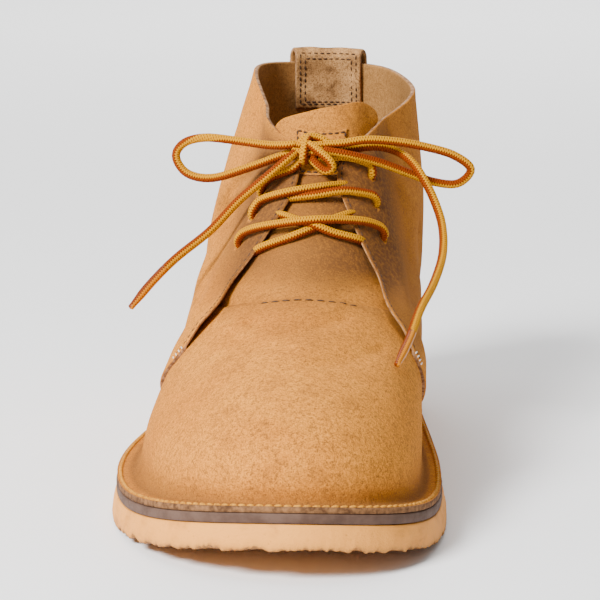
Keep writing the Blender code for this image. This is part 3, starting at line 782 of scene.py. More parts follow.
def shell(name: str, grid: Array, low: Array, high: Array, materials: Sequence[Material],
          values: dict[str, Array], flip: bool = False) -> Mesh:
    """Closed wall between two offsets of a grid.

    Args:
        name: Name of the mesh.
        grid: Base points, columns by rows.
        low: Offset of the inner skin at each point.
        high: Offset of the outer skin at each point.
        materials: Outer, inner and edge material.
        values: Numbers for each grid point, kept on both skins.
        flip: Whether the grid runs the other way round.

    Returns:
        The mesh.
    """
    normals = grid_normals(grid, flip)
    columns, rows = grid.shape[:2]
    verts = np.concatenate([(grid + normals * offset[..., None]).reshape(-1, 3)
                            for offset in (low, high)])
    index = np.arange(columns * rows).reshape(columns, rows)
    a, b, c, d = (part.ravel() for part in (index[:-1, :-1], index[1:, :-1], index[1:, 1:],
                                            index[:-1, 1:]))
    outer = np.stack([a, b, c, d], axis=1) + columns * rows
    inner = np.stack([a, d, c, b], axis=1)
    loop = np.concatenate([index[:-1, 0], index[-1, :-1], index[:0:-1, -1], index[0, :0:-1]])
    after = np.roll(loop, -1)
    edge = np.stack([after + columns * rows, loop + columns * rows, loop, after], axis=1)
    faces = np.concatenate([outer, inner, edge])
    if flip:
        faces = faces[:, ::-1]
    mesh = bpy.data.meshes.new(name)
    mesh.from_pydata(verts.tolist(), [], faces.tolist())
    for material in materials:
        mesh.materials.append(material)
    skins = np.repeat([Skin.OUTER.value, Skin.INNER.value, Skin.CUT.value],
                      [len(outer), len(inner), len(edge)])
    mesh.polygons.foreach_set("material_index", skins.astype(np.int32))
    for key, numbers in values.items():
        attribute = mesh.attributes.new(key, "FLOAT", "POINT")
        both = np.concatenate([numbers.ravel()] * 2)
        attribute.data.foreach_set("value", both.astype(np.float32))
    mesh.update()
    return mesh


def edge_drop(distance: Array, radius: float) -> Array:
    """How far a skin falls back at a rounded cut edge."""
    share = 1.0 - np.clip(distance / radius, 0.0, 1.0)
    return radius * (1.0 - np.sqrt(1.0 - 0.9 * share ** 2))


@dataclass(frozen=True)
class Stitch:
    """Kind of stitch: its pitch, the size of its bead and the lift of its middle."""

    pitch: float
    length: float
    width: float
    height: float
    lift: float = 0.0


class Stitcher:
    """Rows of stitches by Geometry Nodes, one bead of thread at each point."""

    def __init__(self) -> None:
        """Build the node tree."""
        tree = bpy.data.node_groups.new("stitch_row", "GeometryNodeTree")
        tree.is_modifier = True
        for way in ("INPUT", "OUTPUT"):
            tree.interface.new_socket(name="Geometry", in_out=way,
                                      socket_type="NodeSocketGeometry")
        self.sizes = {}
        for name, kind in (("Length", "Float"), ("Width", "Float"), ("Height", "Float"),
                           ("Thread", "Material")):
            socket = tree.interface.new_socket(name=name, in_out="INPUT",
                                               socket_type="NodeSocket" + kind)
            self.sizes[name] = socket.identifier
        nodes, links = tree.nodes, tree.links
        source, result = nodes.new("NodeGroupInput"), nodes.new("NodeGroupOutput")
        bead = nodes.new("GeometryNodeMeshUVSphere")
        bead.inputs["Segments"].default_value = 8
        bead.inputs["Rings"].default_value = 6
        bead.inputs["Radius"].default_value = 0.5
        scale = nodes.new("ShaderNodeCombineXYZ")
        for axis, name in zip("XYZ", ("Length", "Width", "Height")):
            links.new(source.outputs[name], scale.inputs[axis])
        shape = nodes.new("GeometryNodeTransform")
        turn = nodes.new("FunctionNodeAxesToRotation")
        turn.primary_axis, turn.secondary_axis = "Z", "X"
        for name, socket_name in (("out", "Primary Axis"), ("run", "Secondary Axis")):
            read = nodes.new("GeometryNodeInputNamedAttribute")
            read.data_type = "FLOAT_VECTOR"
            read.inputs["Name"].default_value = name
            links.new(read.outputs["Attribute"], turn.inputs[socket_name])
        place = nodes.new("GeometryNodeInstanceOnPoints")
        real = nodes.new("GeometryNodeRealizeInstances")
        dress = nodes.new("GeometryNodeSetMaterial")
        for start, given, end, taken in (
                (bead, "Mesh", shape, "Geometry"), (scale, "Vector", shape, "Scale"),
                (source, "Geometry", place, "Points"), (shape, "Geometry", place, "Instance"),
                (turn, "Rotation", place, "Rotation"), (place, "Instances", real, "Geometry"),
                (real, "Geometry", dress, "Geometry"), (source, "Thread", dress, "Material"),
                (dress, "Geometry", result, "Geometry")):
            links.new(start.outputs[given], end.inputs[taken])
        self.tree = tree

    def row(self, name: str, points: Array, out: Array, run: Array, stitch: Stitch,
            thread: Material) -> bpy.types.Object:
        """Make one piece of stitches.

        Args:
            name: Name of the piece.
            points: Middle of each stitch.
            out: Outward direction at each stitch.
            run: Direction of each stitch.
            stitch: Kind of stitch.
            thread: Material of the thread.

        Returns:
            The piece, a plain mesh.
        """
        host = bpy.data.meshes.new(name + "_points")
        host.from_pydata(np.asarray(points).tolist(), [], [])
        for key, vectors in (("out", out), ("run", run)):
            attribute = host.attributes.new(key, "FLOAT_VECTOR", "POINT")
            attribute.data.foreach_set("vector", np.asarray(vectors, dtype=np.float32).ravel())
        holder = bpy.data.objects.new(name + "_points", host)
        bpy.context.scene.collection.objects.link(holder)
        modifier = holder.modifiers.new("stitches", "NODES")
        modifier.node_group = self.tree
        for key in ("Length", "Width", "Height"):
            modifier[self.sizes[key]] = getattr(stitch, key.lower())
        modifier[self.sizes["Thread"]] = thread
        graph = bpy.context.evaluated_depsgraph_get()
        mesh = bpy.data.meshes.new_from_object(holder.evaluated_get(graph))
        bpy.data.objects.remove(holder, do_unlink=True)
        mesh.name = name
        return new_piece(name, mesh)

    def along(self, name: str, lines: Sequence[tuple[Array, Array]], stitch: Stitch,
              thread: Material) -> bpy.types.Object:
        """Make one piece of the stitches along some lines.

        Args:
            name: Name of the piece.
            lines: Points of each line, with their outward directions.
            stitch: Kind of stitch.
            thread: Material of the thread.

        Returns:
            The piece, a plain mesh.
        """
        parts = [stitch_line(line, out, stitch) for line, out in lines]
        points, out, run = (np.concatenate([part[k] for part in parts]) for k in range(3))
        return self.row(name, points, out, run, stitch, thread)


def stitch_line(line: Array, out: Array, stitch: Stitch) -> tuple[Array, Array, Array]:
    """Middles, outward directions and runs of stitches along a fine line.

    Args:
        line: Points of the line on the surface.
        out: Outward direction at each point.
        stitch: Kind of stitch.

    Returns:
        Points, outward directions and run directions.
    """
    run = lengths(line)
    count = max(1, round(run[-1] / stitch.pitch))
    marks = (np.arange(count) + 0.5) / count * run[-1]
    near = 0.3 * stitch.pitch

    def read(table: Array, at: Array) -> Array:
        """Rows of a table at lengths along the line."""
        return np.stack([np.interp(at, run, table[:, axis]) for axis in range(3)], axis=1)

    middle, normal = read(line, marks), read(out, marks)
    direction = read(line, marks + near) - read(line, marks - near)
    normal = normal / np.linalg.norm(normal, axis=1, keepdims=True)
    direction = direction / np.linalg.norm(direction, axis=1, keepdims=True)
    return middle + normal * stitch.lift, normal, direction


@dataclass(frozen=True)
class Crease:
    """Soft trough, or ridge where its depth is negative, between two places on the upper.

    A place is a level and an angle in degrees.
    """

    start: tuple[float, float]
    end: tuple[float, float]
    width: float
    depth: float


def box(across: float, low: float, high: float, count: int) -> list[tuple[Array, Array]]:
    """Four sides of a box of stitches, each as columns and rows.

    Args:
        across: Half width of the box.
        low: Row of its first end.
        high: Row of its other end.
        count: Number of points of a side.

    Returns:
        Columns and rows of each side, in order round the box.
    """
    turn = np.linspace(0.0, 1.0, count)
    return [(-across + 0.0 * turn, mix(low, high, turn)),
            (mix(-across, across, turn), high + 0.0 * turn),
            (across + 0.0 * turn, mix(high, low, turn)),
            (mix(across, -across, turn), low + 0.0 * turn)]


@dataclass
class Upper:
    """Vamp and quarters, turned out over the sole and lapped at the facings."""

    last: Last
    finishes: Finishes
    stitcher: Stitcher
    leather: float = 0.0020
    bond: float = 0.0004
    lap_width: float = 0.018
    lap_fade: float = 0.016
    flange_fade: float = 0.0045
    tack_level: float = 2.6
    seam: float = 3.98
    seam_drop: float = 0.85
    seam_drop_angle: float = math.radians(62.0)
    collar: float = 7.0
    edge_radius: float = 0.0007
    flange_edge_top: float = 0.030
    curl: float = 0.0014
    curl_reach: float = 0.0065
    eyelet_setback: float = 0.0145
    eyelet_diameter: float = 0.0040
    eyelets: tuple[tuple[float, float], ...] = ((4.45, 4.60), (4.88, 5.15), (5.33, 5.78))
    creases: tuple[Crease, ...] = (
        Crease((3.30, -34.0), (3.42, 30.0), 0.0060, 0.0011),
        Crease((2.95, -44.0), (3.02, -4.0), 0.0045, 0.0008),
        Crease((2.70, 8.0), (2.62, 48.0), 0.0050, 0.0008),
        Crease((3.62, -20.0), (3.70, 26.0), 0.0035, -0.0006),
        Crease((4.10, -88.0), (2.20, -104.0), 0.0090, 0.0016),
        Crease((4.40, 84.0), (2.50, 98.0), 0.0080, 0.0014),
        Crease((5.30, 62.0), (4.10, 70.0), 0.0060, 0.0010),
        Crease((5.20, -66.0), (4.30, -78.0), 0.0060, 0.0009),
        Crease((5.40, -150.0), (5.10, -112.0), 0.0060, 0.0009),
        Crease((4.90, 148.0), (5.20, 112.0), 0.0060, 0.0009),
        Crease((4.55, 166.0), (4.60, -162.0), 0.0055, 0.0008),
    )
    edge_places: tuple[float, ...] = (0.0, 0.00012, 0.00035, 0.0007, 0.0011, 0.0016, 0.0022)
    lap_places: tuple[float, float] = (0.0032, 0.0014)
    far_columns: int = 66
    vamp_columns: int = 44
    wall_rows: int = 92
    vamp_rows: int = 84
    bend_rows: int = 10
    rim_levels: tuple[float, ...] = (6.92, 6.945, 6.965, 6.98, 6.992, 7.0)
    seam_shares: tuple[float, ...] = (0.985, 0.991, 0.996, 0.999, 1.0)
    flange_places: tuple[float, ...] = (1.0, 0.985, 0.95, 0.85, 0.70, 0.50, 0.25)
    flange_stitch: Stitch = Stitch(0.0030, 0.0031, 0.0015, 0.0015)
    facing_stitch: Stitch = Stitch(0.0026, 0.0022, 0.0007, 0.0006, -0.0001)
    seam_stitch: Stitch = Stitch(0.0042, 0.0030, 0.0008, 0.0007, -0.0001)
    tack_stitch: Stitch = Stitch(0.0010, 0.0042, 0.0006, 0.0006)
    tack_levels: tuple[float, float] = (2.00, 2.24)
    flange_stitch_inset: float = 0.0013
    facing_stitch_inset: float = 0.0014
    facing_stitch_levels: tuple[float, float] = (2.05, 6.93)
    seam_stitch_drop: float = 0.10
    seam_stitch_angles: tuple[float, float] = (-0.50, 0.64)

    def bond_at(self, level: Array) -> Array:
        """Positive where the quarter is sewn to the vamp, negative where it lies free on it."""
        return mix(self.bond, -self.last.gap, smooth((level - self.tack_level + 0.25) / 0.5))

    def behind_edge(self, level: Array, angle: Array) -> Array:
        """Distance behind the quarter's front edge, 0 in front of it.

        Args:
            level: Levels of the points.
            angle: Signed angles of the points.

        Returns:
            The distance at each point.
        """
        sign = np.where(angle < 0.0, -1.0, 1.0)
        edge = self.last.facing(level)
        reach = np.linalg.norm(self.last.point(level, angle)
                               - self.last.point(level, sign * edge), axis=-1)
        return np.where(np.abs(angle) > edge, reach, 0.0)

    def lap_height(self, level: Array, angle: Array) -> Array:
        """How far the quarter's inner face is lifted by what lies under it.

        Args:
            level: Levels of the points.
            angle: Signed angles of the points.

        Returns:
            The lift at each point.
        """
        distance = self.behind_edge(level, angle)
        fade = mix(self.flange_fade, self.lap_fade, smooth(level / 0.6))
        lifted = 1.0 - smooth((distance - self.lap_width) / fade)
        return (self.leather - self.bond_at(level)) * lifted

    def curl_height(self, level: Array, angle: Array) -> Array:
        """How far the quarter's front edge stands off, most between the tacks and the lace.

        Args:
            level: Levels of the points.
            angle: Signed angles of the points.

        Returns:
            The distance at each point.
        """
        distance = self.behind_edge(level, angle)
        most = smooth((level - 2.15) / 0.7) * mix(1.0, 0.30, smooth((level - 3.4) / 2.0))
        most = most * (1.0 - 0.8 * smooth((level - 6.2) / 0.6))
        return self.curl * most * np.exp(-(distance / self.curl_reach) ** 1.5)

    def seam_level(self, angle: Array) -> Array:
        """Level of the vamp's top edge, an arch that drops towards the facings."""
        share = np.clip(np.abs(angle) / self.seam_drop_angle, 0.0, 1.0)
        return self.seam - self.seam_drop * share ** 2

    def place_angle(self, columns: Columns, level: Array) -> Array:
        """Signed angle of each column at each level.

        Args:
            columns: Columns of the grid.
            level: Levels of the rows.

        Returns:
            The angle of each point of the grid.
        """
        sign, kind, value = columns.sign, columns.kind, columns.value
        beyond = self.last.behind(level, sign, self.lap_width + self.lap_fade)
        behind = self.last.behind(level, sign, np.where(kind == Kind.BEHIND.value, value, 0.0))
        angle = np.where(kind == Kind.FRONT.value, value * self.last.facing(level), behind)
        angle = np.where(kind == Kind.BEYOND.value, mix(beyond, math.pi, value), angle)
        return sign * angle

    def seam_meeting(self, columns: Columns) -> Array:
        """Level where each column meets the seam.

        Args:
            columns: Columns of the grid.

        Returns:
            The level of each column.
        """
        level = np.full(columns.sign.shape, self.seam)
        for _ in range(14):
            level = 0.5 * (level + self.seam_level(self.place_angle(columns, level)))
        return level

    def profile(self, columns: Columns, levels: Array) -> tuple[Array, Array, Array]:
        """Levels, angles and base points of the flange, the bend and the wall.

        Args:
            columns: Where the columns are.
            levels: Levels of the wall's rows in each column.

        Returns:
            Levels, angles and points, columns by rows.
        """
        last = self.last
        zero = np.zeros(columns.sign.shape)
        foot = self.place_angle(columns, zero)
        width = last.flange_width(foot)
        flange = []
        for share in self.flange_places:
            point = last.outline(foot, mix(last.feather_bend, width, share))
            point[..., 2] = last.sole_top(point[..., 1])
            flange.append(point)
        start = last.outline(foot, 0.0 * foot + last.feather_bend)
        start[..., 2] = last.sole_top(start[..., 1])
        corner = last.point(zero, foot)
        top_angle = self.place_angle(columns, zero + last.bend_top)
        end = last.point(zero + last.bend_top, top_angle)
        bend = []
        ramp = np.linspace(0.0, 1.0, self.bend_rows)
        for share in ramp:
            bend.append(mix(mix(start, corner, share), mix(corner, end, share), share))
        wall_angle = self.place_angle(columns, levels)
        wall = last.point(levels, wall_angle)
        points = np.concatenate(flange + bend + [wall], axis=1)
        count = len(flange)
        level = np.concatenate([np.zeros((len(zero), count)), ramp * last.bend_top + zero, levels],
                               axis=1)
        angle = np.concatenate([np.repeat(foot, count, axis=1), mix(foot, top_angle, ramp),
                                wall_angle], axis=1)
        return level, angle, points

    def folds(self, points: Array) -> Array:
        """Depth of the creases at points, with a slight unevenness of the hide.

        Args:
            points: Points on the leather.

        Returns:
            The depth at each point.
        """
        flat = points.reshape(-1, 3)
        depth = np.zeros(len(flat))
        for crease in self.creases:
            steps = np.linspace(0.0, 1.0, 13)
            angles = np.radians(mix(crease.start[1], crease.end[1], steps))
            if abs(crease.start[1] - crease.end[1]) > 180.0:
                angles = np.radians(mix(crease.start[1], crease.end[1] + 360.0, steps))
                angles = (angles + math.pi) % (2.0 * math.pi) - math.pi
            line = self.last.point(mix(crease.start[0], crease.end[0], steps), angles)
            best = np.full(len(flat), 1.0)
            for here, after, share in zip(line, line[1:], steps):
                run = after - here
                at = np.clip(((flat - here) @ run) / (run @ run), 0.0, 1.0)
                reach = np.linalg.norm(flat - here - at[:, None] * run, axis=1)
                best = np.minimum(best, reach / (0.35 + 0.65 * math.sin(math.pi * (share + 0.04))))
            depth += crease.depth * np.exp(-(best / crease.width) ** 2)
        depth += 0.00030 * soft_noise(flat, 55.0, 3.0) + 0.00055 * soft_noise(flat, 24.0, 8.0)
        return depth.reshape(points.shape[:2])

    def wear_and_shade(self, points: Array, level: Array, angle: Array) -> dict[str, Array]:
        """Rubbed share, and a darker share that is mostly painted shade, at grid points.

        Args:
            points: Points of the grid.
            level: Levels of the points.
            angle: Signed angles of the points.

        Returns:
            The shares at each point, by name.
        """
        y, z = points[..., 1], points[..., 2]
        toe = smooth((self.last.along(0.16) - y) / 0.05) * smooth((level - 0.3) / 0.8)
        heel = smooth((y - 0.005) / 0.03) * smooth((3.4 - level) / 2.0)
        ball = smooth((level - 1.3) / 0.9) * smooth((3.4 - level) / 0.9)
        rub = 0.55 * toe + 0.45 * heel + 0.55 * ball
        # Darker at the bend over the flange and on everything below 3 cm.
        soil_and_shade = 0.55 * smooth((0.55 - level) / 0.5) * smooth((level - 0.02) / 0.1)
        soil_and_shade = soil_and_shade + 0.25 * smooth((0.030 - z) / 0.01)
        # Painted shade on the vamp between the quarters: over the throat, deepest next to the
        # quarters' front edges and higher up under the laces.
        sign = np.where(angle < 0.0, -1.0, 1.0)
        edge = self.last.point(level, sign * self.last.facing(level))
        inside = np.linalg.norm(self.last.point(level, angle) - edge, axis=-1)
        inside = np.where(np.abs(angle) < self.last.facing(level), inside, 0.0)
        throat = smooth((level - 2.5) / 0.6) * (np.abs(angle) < self.last.facing(level))
        near_edge = 0.70 * np.exp(-inside / 0.007)
        soil_and_shade = soil_and_shade + throat * (0.12 + near_edge) * smooth((level - 2.9) / 0.6)
        soil_and_shade = soil_and_shade + throat * 0.30 * smooth((level - 3.4) / 0.6)
        # Painted shade down the medial side, strong on the quarter and slight on the vamp.
        flank = smooth((angle - 0.55) / 0.5) * smooth((2.6 - angle) / 0.6)
        behind = np.abs(angle) > self.last.facing(level)
        flank = flank * np.where(behind, mix(0.55, 0.36, smooth((level - 3.6) / 1.6)), 0.12)
        soil_and_shade = soil_and_shade + flank * smooth((level - 1.4) / 1.2)
        # Darker on the quarters next to the facings, from level 2.8 up to the collar.
        band = smooth((1.35 - np.abs(angle)) / 0.7) * smooth((level - 2.8) / 1.2)
        soil_and_shade = soil_and_shade + np.where(behind, 0.95, 0.0) * band * smooth((7.3 - level) / 0.8)
        return {"rub": np.clip(rub, 0.0, 1.0), "soil_and_shade": np.clip(soil_and_shade, 0.0, 1.0)}

    def build(self) -> None:
        """Make the quarters, the vamp and their stitches."""
        materials = (self.finishes.suede, self.finishes.lining, self.finishes.raw_edge)
        start, step = self.lap_places
        near = [*self.edge_places, *np.arange(start, self.lap_width + self.lap_fade, step)]
        far = np.linspace(0.0, 1.0, self.far_columns)
        side = [(Kind.BEHIND, value) for value in near] + [(Kind.BEYOND, value) for value in far]
        lateral = [(-1.0, kind, value) for kind, value in side]
        medial = [(1.0, kind, value) for kind, value in side[:-1]]
        columns = Columns.join(lateral + medial[::-1])
        first, *others = self.rim_levels
        wall = np.concatenate([np.linspace(self.last.bend_top, first, self.wall_rows)[1:], others])
        levels = np.repeat(wall[None, :], len(columns.sign), axis=0)
        level, angle, grid = self.profile(columns, levels)
        lap = self.lap_height(level, angle) + self.curl_height(level, angle)
        lap = lap - self.folds(grid) * smooth((level - 0.4) / 0.8)
        rim = np.minimum(self.behind_edge(level, angle) + 0.01 * (level < 0.01),
                         (self.collar - level) * 0.020)
        drop = edge_drop(rim, self.edge_radius)
        shade = self.wear_and_shade(grid, level, angle)
        thin = 0.0008 * (1.0 - smooth(self.behind_edge(level, angle) / 0.006)) * (level > 2.3)
        mesh = shell("quarters", grid, lap + thin + 0.6 * drop, lap + self.leather - drop,
                     materials, shade, flip=True)
        self.punch(mesh)
        self.darken_edge(mesh)
        new_piece("quarters", mesh, ("upper",))

        count = self.vamp_columns
        front = [(Kind.FRONT, step / count) for step in range(count - 1, 0, -1)]
        side = [(Kind.BEHIND, value) for value in np.linspace(self.lap_width, 0.0, 12)] + front
        columns = Columns.join([(-1.0, kind, value) for kind, value in side]
                               + [(1.0, Kind.FRONT, 0.0)]
                               + [(1.0, kind, value) for kind, value in side[::-1]])
        top = self.seam_meeting(columns)
        first, *others = self.seam_shares
        share = np.concatenate([np.linspace(0.0, first, self.vamp_rows)[1:], others])[None, :]
        level, angle, grid = self.profile(columns, mix(self.last.bend_top, top, share))
        high = np.minimum(self.leather, self.lap_height(level, angle) + self.bond_at(level))
        to_seam = (top - level) * 0.024
        low = 0.0 * high + 0.5 * self.leather * (1.0 - smooth(to_seam / 0.006))
        skive = 0.50 * self.leather * (1.0 - smooth(to_seam / 0.0035))
        fold = self.folds(grid) * smooth((level - 0.4) / 0.8)
        mesh = shell("vamp", grid, low - fold, high - fold - skive, materials,
                     self.wear_and_shade(grid, level, angle))
        self.darken_edge(mesh)
        new_piece("vamp", mesh, ("upper",))
        self.sew()

    def darken_edge(self, mesh: Mesh) -> None:
        """Give the flange's cut edge its darker material, its own brown darkened further as painted
        shade under the stitched rim.

        Args:
            mesh: Mesh to change.
        """
        mesh.materials.append(self.finishes.flange_edge)
        for face in mesh.polygons:
            if face.material_index == Skin.CUT.value and face.center.z < self.flange_edge_top:
                face.material_index = Skin.FLANGE_CUT.value

    def punch(self, mesh: Mesh) -> None:
        """Cut the eyelets' holes through the quarters.

        Args:
            mesh: Mesh to change.
        """
        bm = bmesh.new()
        for row in self.eyelets:
            for side, level in zip(Side, row):
                place = np.array([level])
                back = self.last.behind(place, side.value, self.eyelet_setback)
                point, out, _ = (part[0] for part in self.last.frame(place, side.value * back))
                turn = Vector(out).to_track_quat("Z", "Y").to_matrix().to_4x4()
                middle = Vector(point + out * 1.5 * self.leather)
                bmesh.ops.create_cone(bm, cap_ends=True, segments=28,
                                      radius1=0.5 * self.eyelet_diameter,
                                      radius2=0.5 * self.eyelet_diameter, depth=5.0 * self.leather,
                                      matrix=Matrix.Translation(middle) @ turn)
        for face in bm.faces:
            face.material_index = Skin.CUT.value
        cutter_mesh = bpy.data.meshes.new("punch")
        bm.to_mesh(cutter_mesh)
        bm.free()
        for _ in range(Skin.CUT.value + 1):
            cutter_mesh.materials.append(self.finishes.raw_edge)
        cutter = bpy.data.objects.new("punch", cutter_mesh)
        holder = bpy.data.objects.new("punched", mesh)
        for item in (cutter, holder):
            bpy.context.scene.collection.objects.link(item)
        cut = holder.modifiers.new("punch", "BOOLEAN")
        cut.object, cut.operation, cut.solver = cutter, "DIFFERENCE", "EXACT"
        graph = bpy.context.evaluated_depsgraph_get()
        result = bpy.data.meshes.new_from_object(holder.evaluated_get(graph))
        bm = bmesh.new()
        bm.from_mesh(result)
        bm.to_mesh(mesh)
        bm.free()
        for item in (cutter, holder):
            bpy.data.objects.remove(item, do_unlink=True)

    def surface_line(self, level: Array, angle: Array, over: bool) -> tuple[Array, Array]:
        """Points on the leather's outer face and the outward directions there.

        Args:
            level: Levels of the line's points.
            angle: Their signed angles.
            over: Whether the line lies on a quarter.

        Returns:
            The points and their outward directions.
        """
        point, out, _ = self.last.frame(level, angle)
        height = self.leather - self.folds(point[:, None])[:, 0] * smooth((level - 0.4) / 0.8)
        if over:
            height = height + self.lap_height(level, angle) + self.curl_height(level, angle)
        return point + out * height[:, None], out

    def sew(self) -> None:
        """Flange row, edge rows, seam and tacks."""
        threads = self.finishes
        around = np.linspace(-math.pi, math.pi, 900)
        line = self.last.outline(around,
                                 self.last.flange_width(around) - self.flange_stitch_inset)
        line[:, 2] = self.last.sole_top(line[:, 1]) + self.leather
        lap = np.abs(around) > self.last.facing(np.zeros_like(around)) - 0.01
        line[:, 2] += lap * self.lap_height(np.zeros_like(around), around)
        up = np.tile([0.0, 0.0, 1.0], (len(line), 1))
        self.stitcher.along("flange_stitches", [(line, up)], self.flange_stitch,
                            threads.gold_thread)
        for side in Side:
            word = side.name.lower()
            level = np.linspace(*self.facing_stitch_levels, 220)
            back = self.last.behind(level, side.value, self.facing_stitch_inset)
            line = self.surface_line(level, side.value * back, True)
            self.stitcher.along(f"facing_stitches_{word}", [line], self.facing_stitch,
                                threads.brown_thread)
            level = np.linspace(*self.tack_levels, 4)
            back = self.last.behind(level, side.value, 0.0005)
            points, out = self.surface_line(level, side.value * back, True)
            run = (self.last.point(level, side.value * back + 0.01)
                   - self.last.point(level, side.value * back - 0.01))
            run = run / np.linalg.norm(run, axis=1, keepdims=True)
            self.stitcher.row(f"tack_{word}", points, out, run, self.tack_stitch,
                              threads.cream_thread)
        angle = np.linspace(*self.seam_stitch_angles, 160)
        line = self.surface_line(self.seam_level(angle) - self.seam_stitch_drop, angle, False)
        self.stitcher.along("seam_stitches", [line], self.seam_stitch, threads.brown_thread)


@dataclass
class Tongue:
    """Tongue under the facings with the square patch sewn on it."""

    upper: Upper
    top: float = 7.80
    peak: float = 0.30
    slopes: tuple[float, float] = (0.40, 1.30)
    thickness: float = 0.0017
    lap: float = 0.016
    top_angles: tuple[float, float] = (math.radians(43.0), math.radians(62.0))
    patch_levels: tuple[float, float] = (6.05, 7.33)
    patch_widths: tuple[float, float] = (0.0140, 0.0200)
    patch_stitch: Stitch = Stitch(0.0023, 0.0020, 0.0009, 0.0007)
    patch_thickness: float = 0.0010

    def side_angle(self, level: Array, sign: Array) -> Array:
        """Unsigned angle of the tongue's edge.

        Args:
            level: Levels of the tongue's rows.
            sign: -1 for the lateral side and 1 for the medial one.

        Returns:
            The angle at each level.
        """
        lapped = self.upper.last.behind(np.minimum(level, self.upper.collar - 0.8), sign, self.lap)
        free = np.where(sign < 0.0, self.top_angles[0], self.top_angles[1])
        return mix(lapped, free, smooth((level - 6.2) / 1.2))

    def build(self) -> None:
        """Make the tongue, the patch and its stitches."""
        upper, last, finishes = self.upper, self.upper.last, self.upper.finishes
        share = np.concatenate([[-1.0, -0.997, -0.99, -0.975], np.linspace(-0.95, 0.95, 60),
                                [0.975, 0.99, 0.997, 1.0]])[:, None]
        sign = np.where(share < 0.0, -1.0, 1.0)
        start = np.full(share.shape, upper.seam)
        for _ in range(14):
            start = 0.5 * (start + upper.seam_level(share * self.side_angle(start, sign)))
        start = start - 0.22
        slope = np.where(share < self.peak, *self.slopes)
        top = self.top - slope * (share - self.peak) ** 2 - 0.12 * share ** 8
        rows = np.concatenate([np.linspace(0.0, 0.985, 90), [0.991, 0.996, 0.999, 1.0]])[None, :]
        level = mix(start, top, rows)
        angle = share * self.side_angle(level, sign)
        grid = last.point(level, angle)
        under = 1.0 - smooth((level - start - 0.16) / 0.22)
        lift = upper.lap_height(np.minimum(level, upper.collar), angle) - last.gap
        high = np.where(level < upper.collar, lift, upper.leather)
        high = np.minimum(upper.leather, np.maximum(high, 0.6 * upper.leather))
        high = high - 0.6 * upper.leather * under
        low = high - self.thickness
        rim = np.minimum((1.0 - np.abs(share)) * 0.030, (top - level) * 0.020)
        drop = edge_drop(rim, 0.0006)
        sag = 0.0005 * soft_noise(grid.reshape(-1, 3), 60.0, 21.0).reshape(level.shape)
        # Painted shade: the tongue is darker all over, most at its edges under the facings, on its
        # medial side and between the lace rows.
        sides = 0.20 * np.exp((np.abs(share) - 0.75) / 0.12)
        medial = 0.22 * smooth(0.5 + share)
        rise = smooth((6.9 - level) / 0.8) * smooth((level - 3.80) / 0.6)
        soil_and_shade = 0.26 + (0.44 + sides + medial) * rise
        shade = {"rub": 0.25 * smooth((level - 6.0) / 0.6), "soil_and_shade": np.clip(soil_and_shade, 0.0, 0.92)}
        mesh = shell("tongue", grid, low + sag + drop, high + sag - drop,
                     (finishes.suede, finishes.lining, finishes.raw_edge), shade)
        new_piece("tongue_leather", mesh, ("tongue",))
        self.build_patch()

    def patch_grid(self, across: Array, rows: Array) -> tuple[Array, Array]:
        """Base points of the patch, and their outward directions.

        Args:
            across: Shares from -1 to 1 over the width.
            rows: Shares from 0 to 1 up the height.

        Returns:
            The points and their outward directions.
        """
        last = self.upper.last
        level = mix(self.patch_levels[0], self.patch_levels[1], rows)
        reach = 0.5 * mix(self.patch_widths[0], self.patch_widths[1], rows) * across
        front = last.point(level, 0.0 * level)
        speed = np.linalg.norm(last.point(level, 0.1 + 0.0 * level) - front, axis=-1) / 0.1
        point, out, _ = last.frame(level, reach / speed)
        return point, out

    def build_patch(self) -> None:
        """Make the patch and the stitches round it."""
        finishes = self.upper.finishes
        edge = np.array([0.0, 0.02, 0.06, 0.12])
        across = np.concatenate([-1.0 + edge, np.linspace(-0.8, 0.8, 16), 1.0 - edge[::-1]])
        across = across[:, None]
        rows = np.concatenate([edge / 2, np.linspace(0.1, 0.9, 20), 1.0 - edge[::-1] / 2])
        rows = rows[None, :]
        grid, _ = self.patch_grid(across + 0.0 * rows, rows + 0.0 * across)
        rim = np.minimum((1.0 - np.abs(across)) * 0.5 * self.patch_widths[0],
                         np.minimum(rows, 1.0 - rows) * 0.020)
        drop = edge_drop(rim, 0.0004)
        base = self.upper.leather - 0.0001
        shade = {"rub": 0.2 + 0.0 * rim, "soil_and_shade": 0.15 + 0.0 * rim}
        mesh = shell("patch", grid, base + 0.0 * rim, base + self.patch_thickness - drop,
                     (finishes.suede, finishes.lining, finishes.raw_edge), shade)
        new_piece("patch_leather", mesh, ("tongue_patch",))
        lines = []
        for across_line, row_line in box(0.93, 0.05, 0.95, 40):
            line, out = self.patch_grid(across_line, row_line)
            lines.append((line + out * (base + self.patch_thickness), out))
        self.upper.stitcher.along("patch_stitches", lines, self.patch_stitch,
                                  finishes.brown_thread)


def read_grid(table: Array, column: Array, row: Array) -> Array:
    """Values of a grid between its columns and rows.

    Args:
        table: Vectors in columns and rows.
        column: Column of each place, with a fraction.
        row: Row of each place, with a fraction.

    Returns:
        The vector at each place.
    """
    i = np.clip(column.astype(int), 0, table.shape[0] - 2)
    j = np.clip(row.astype(int), 0, table.shape[1] - 2)
    s, t = (column - i)[:, None], (row - j)[:, None]
    low = mix(table[i, j], table[i + 1, j], s)
    high = mix(table[i, j + 1], table[i + 1, j + 1], s)
    return mix(low, high, t)


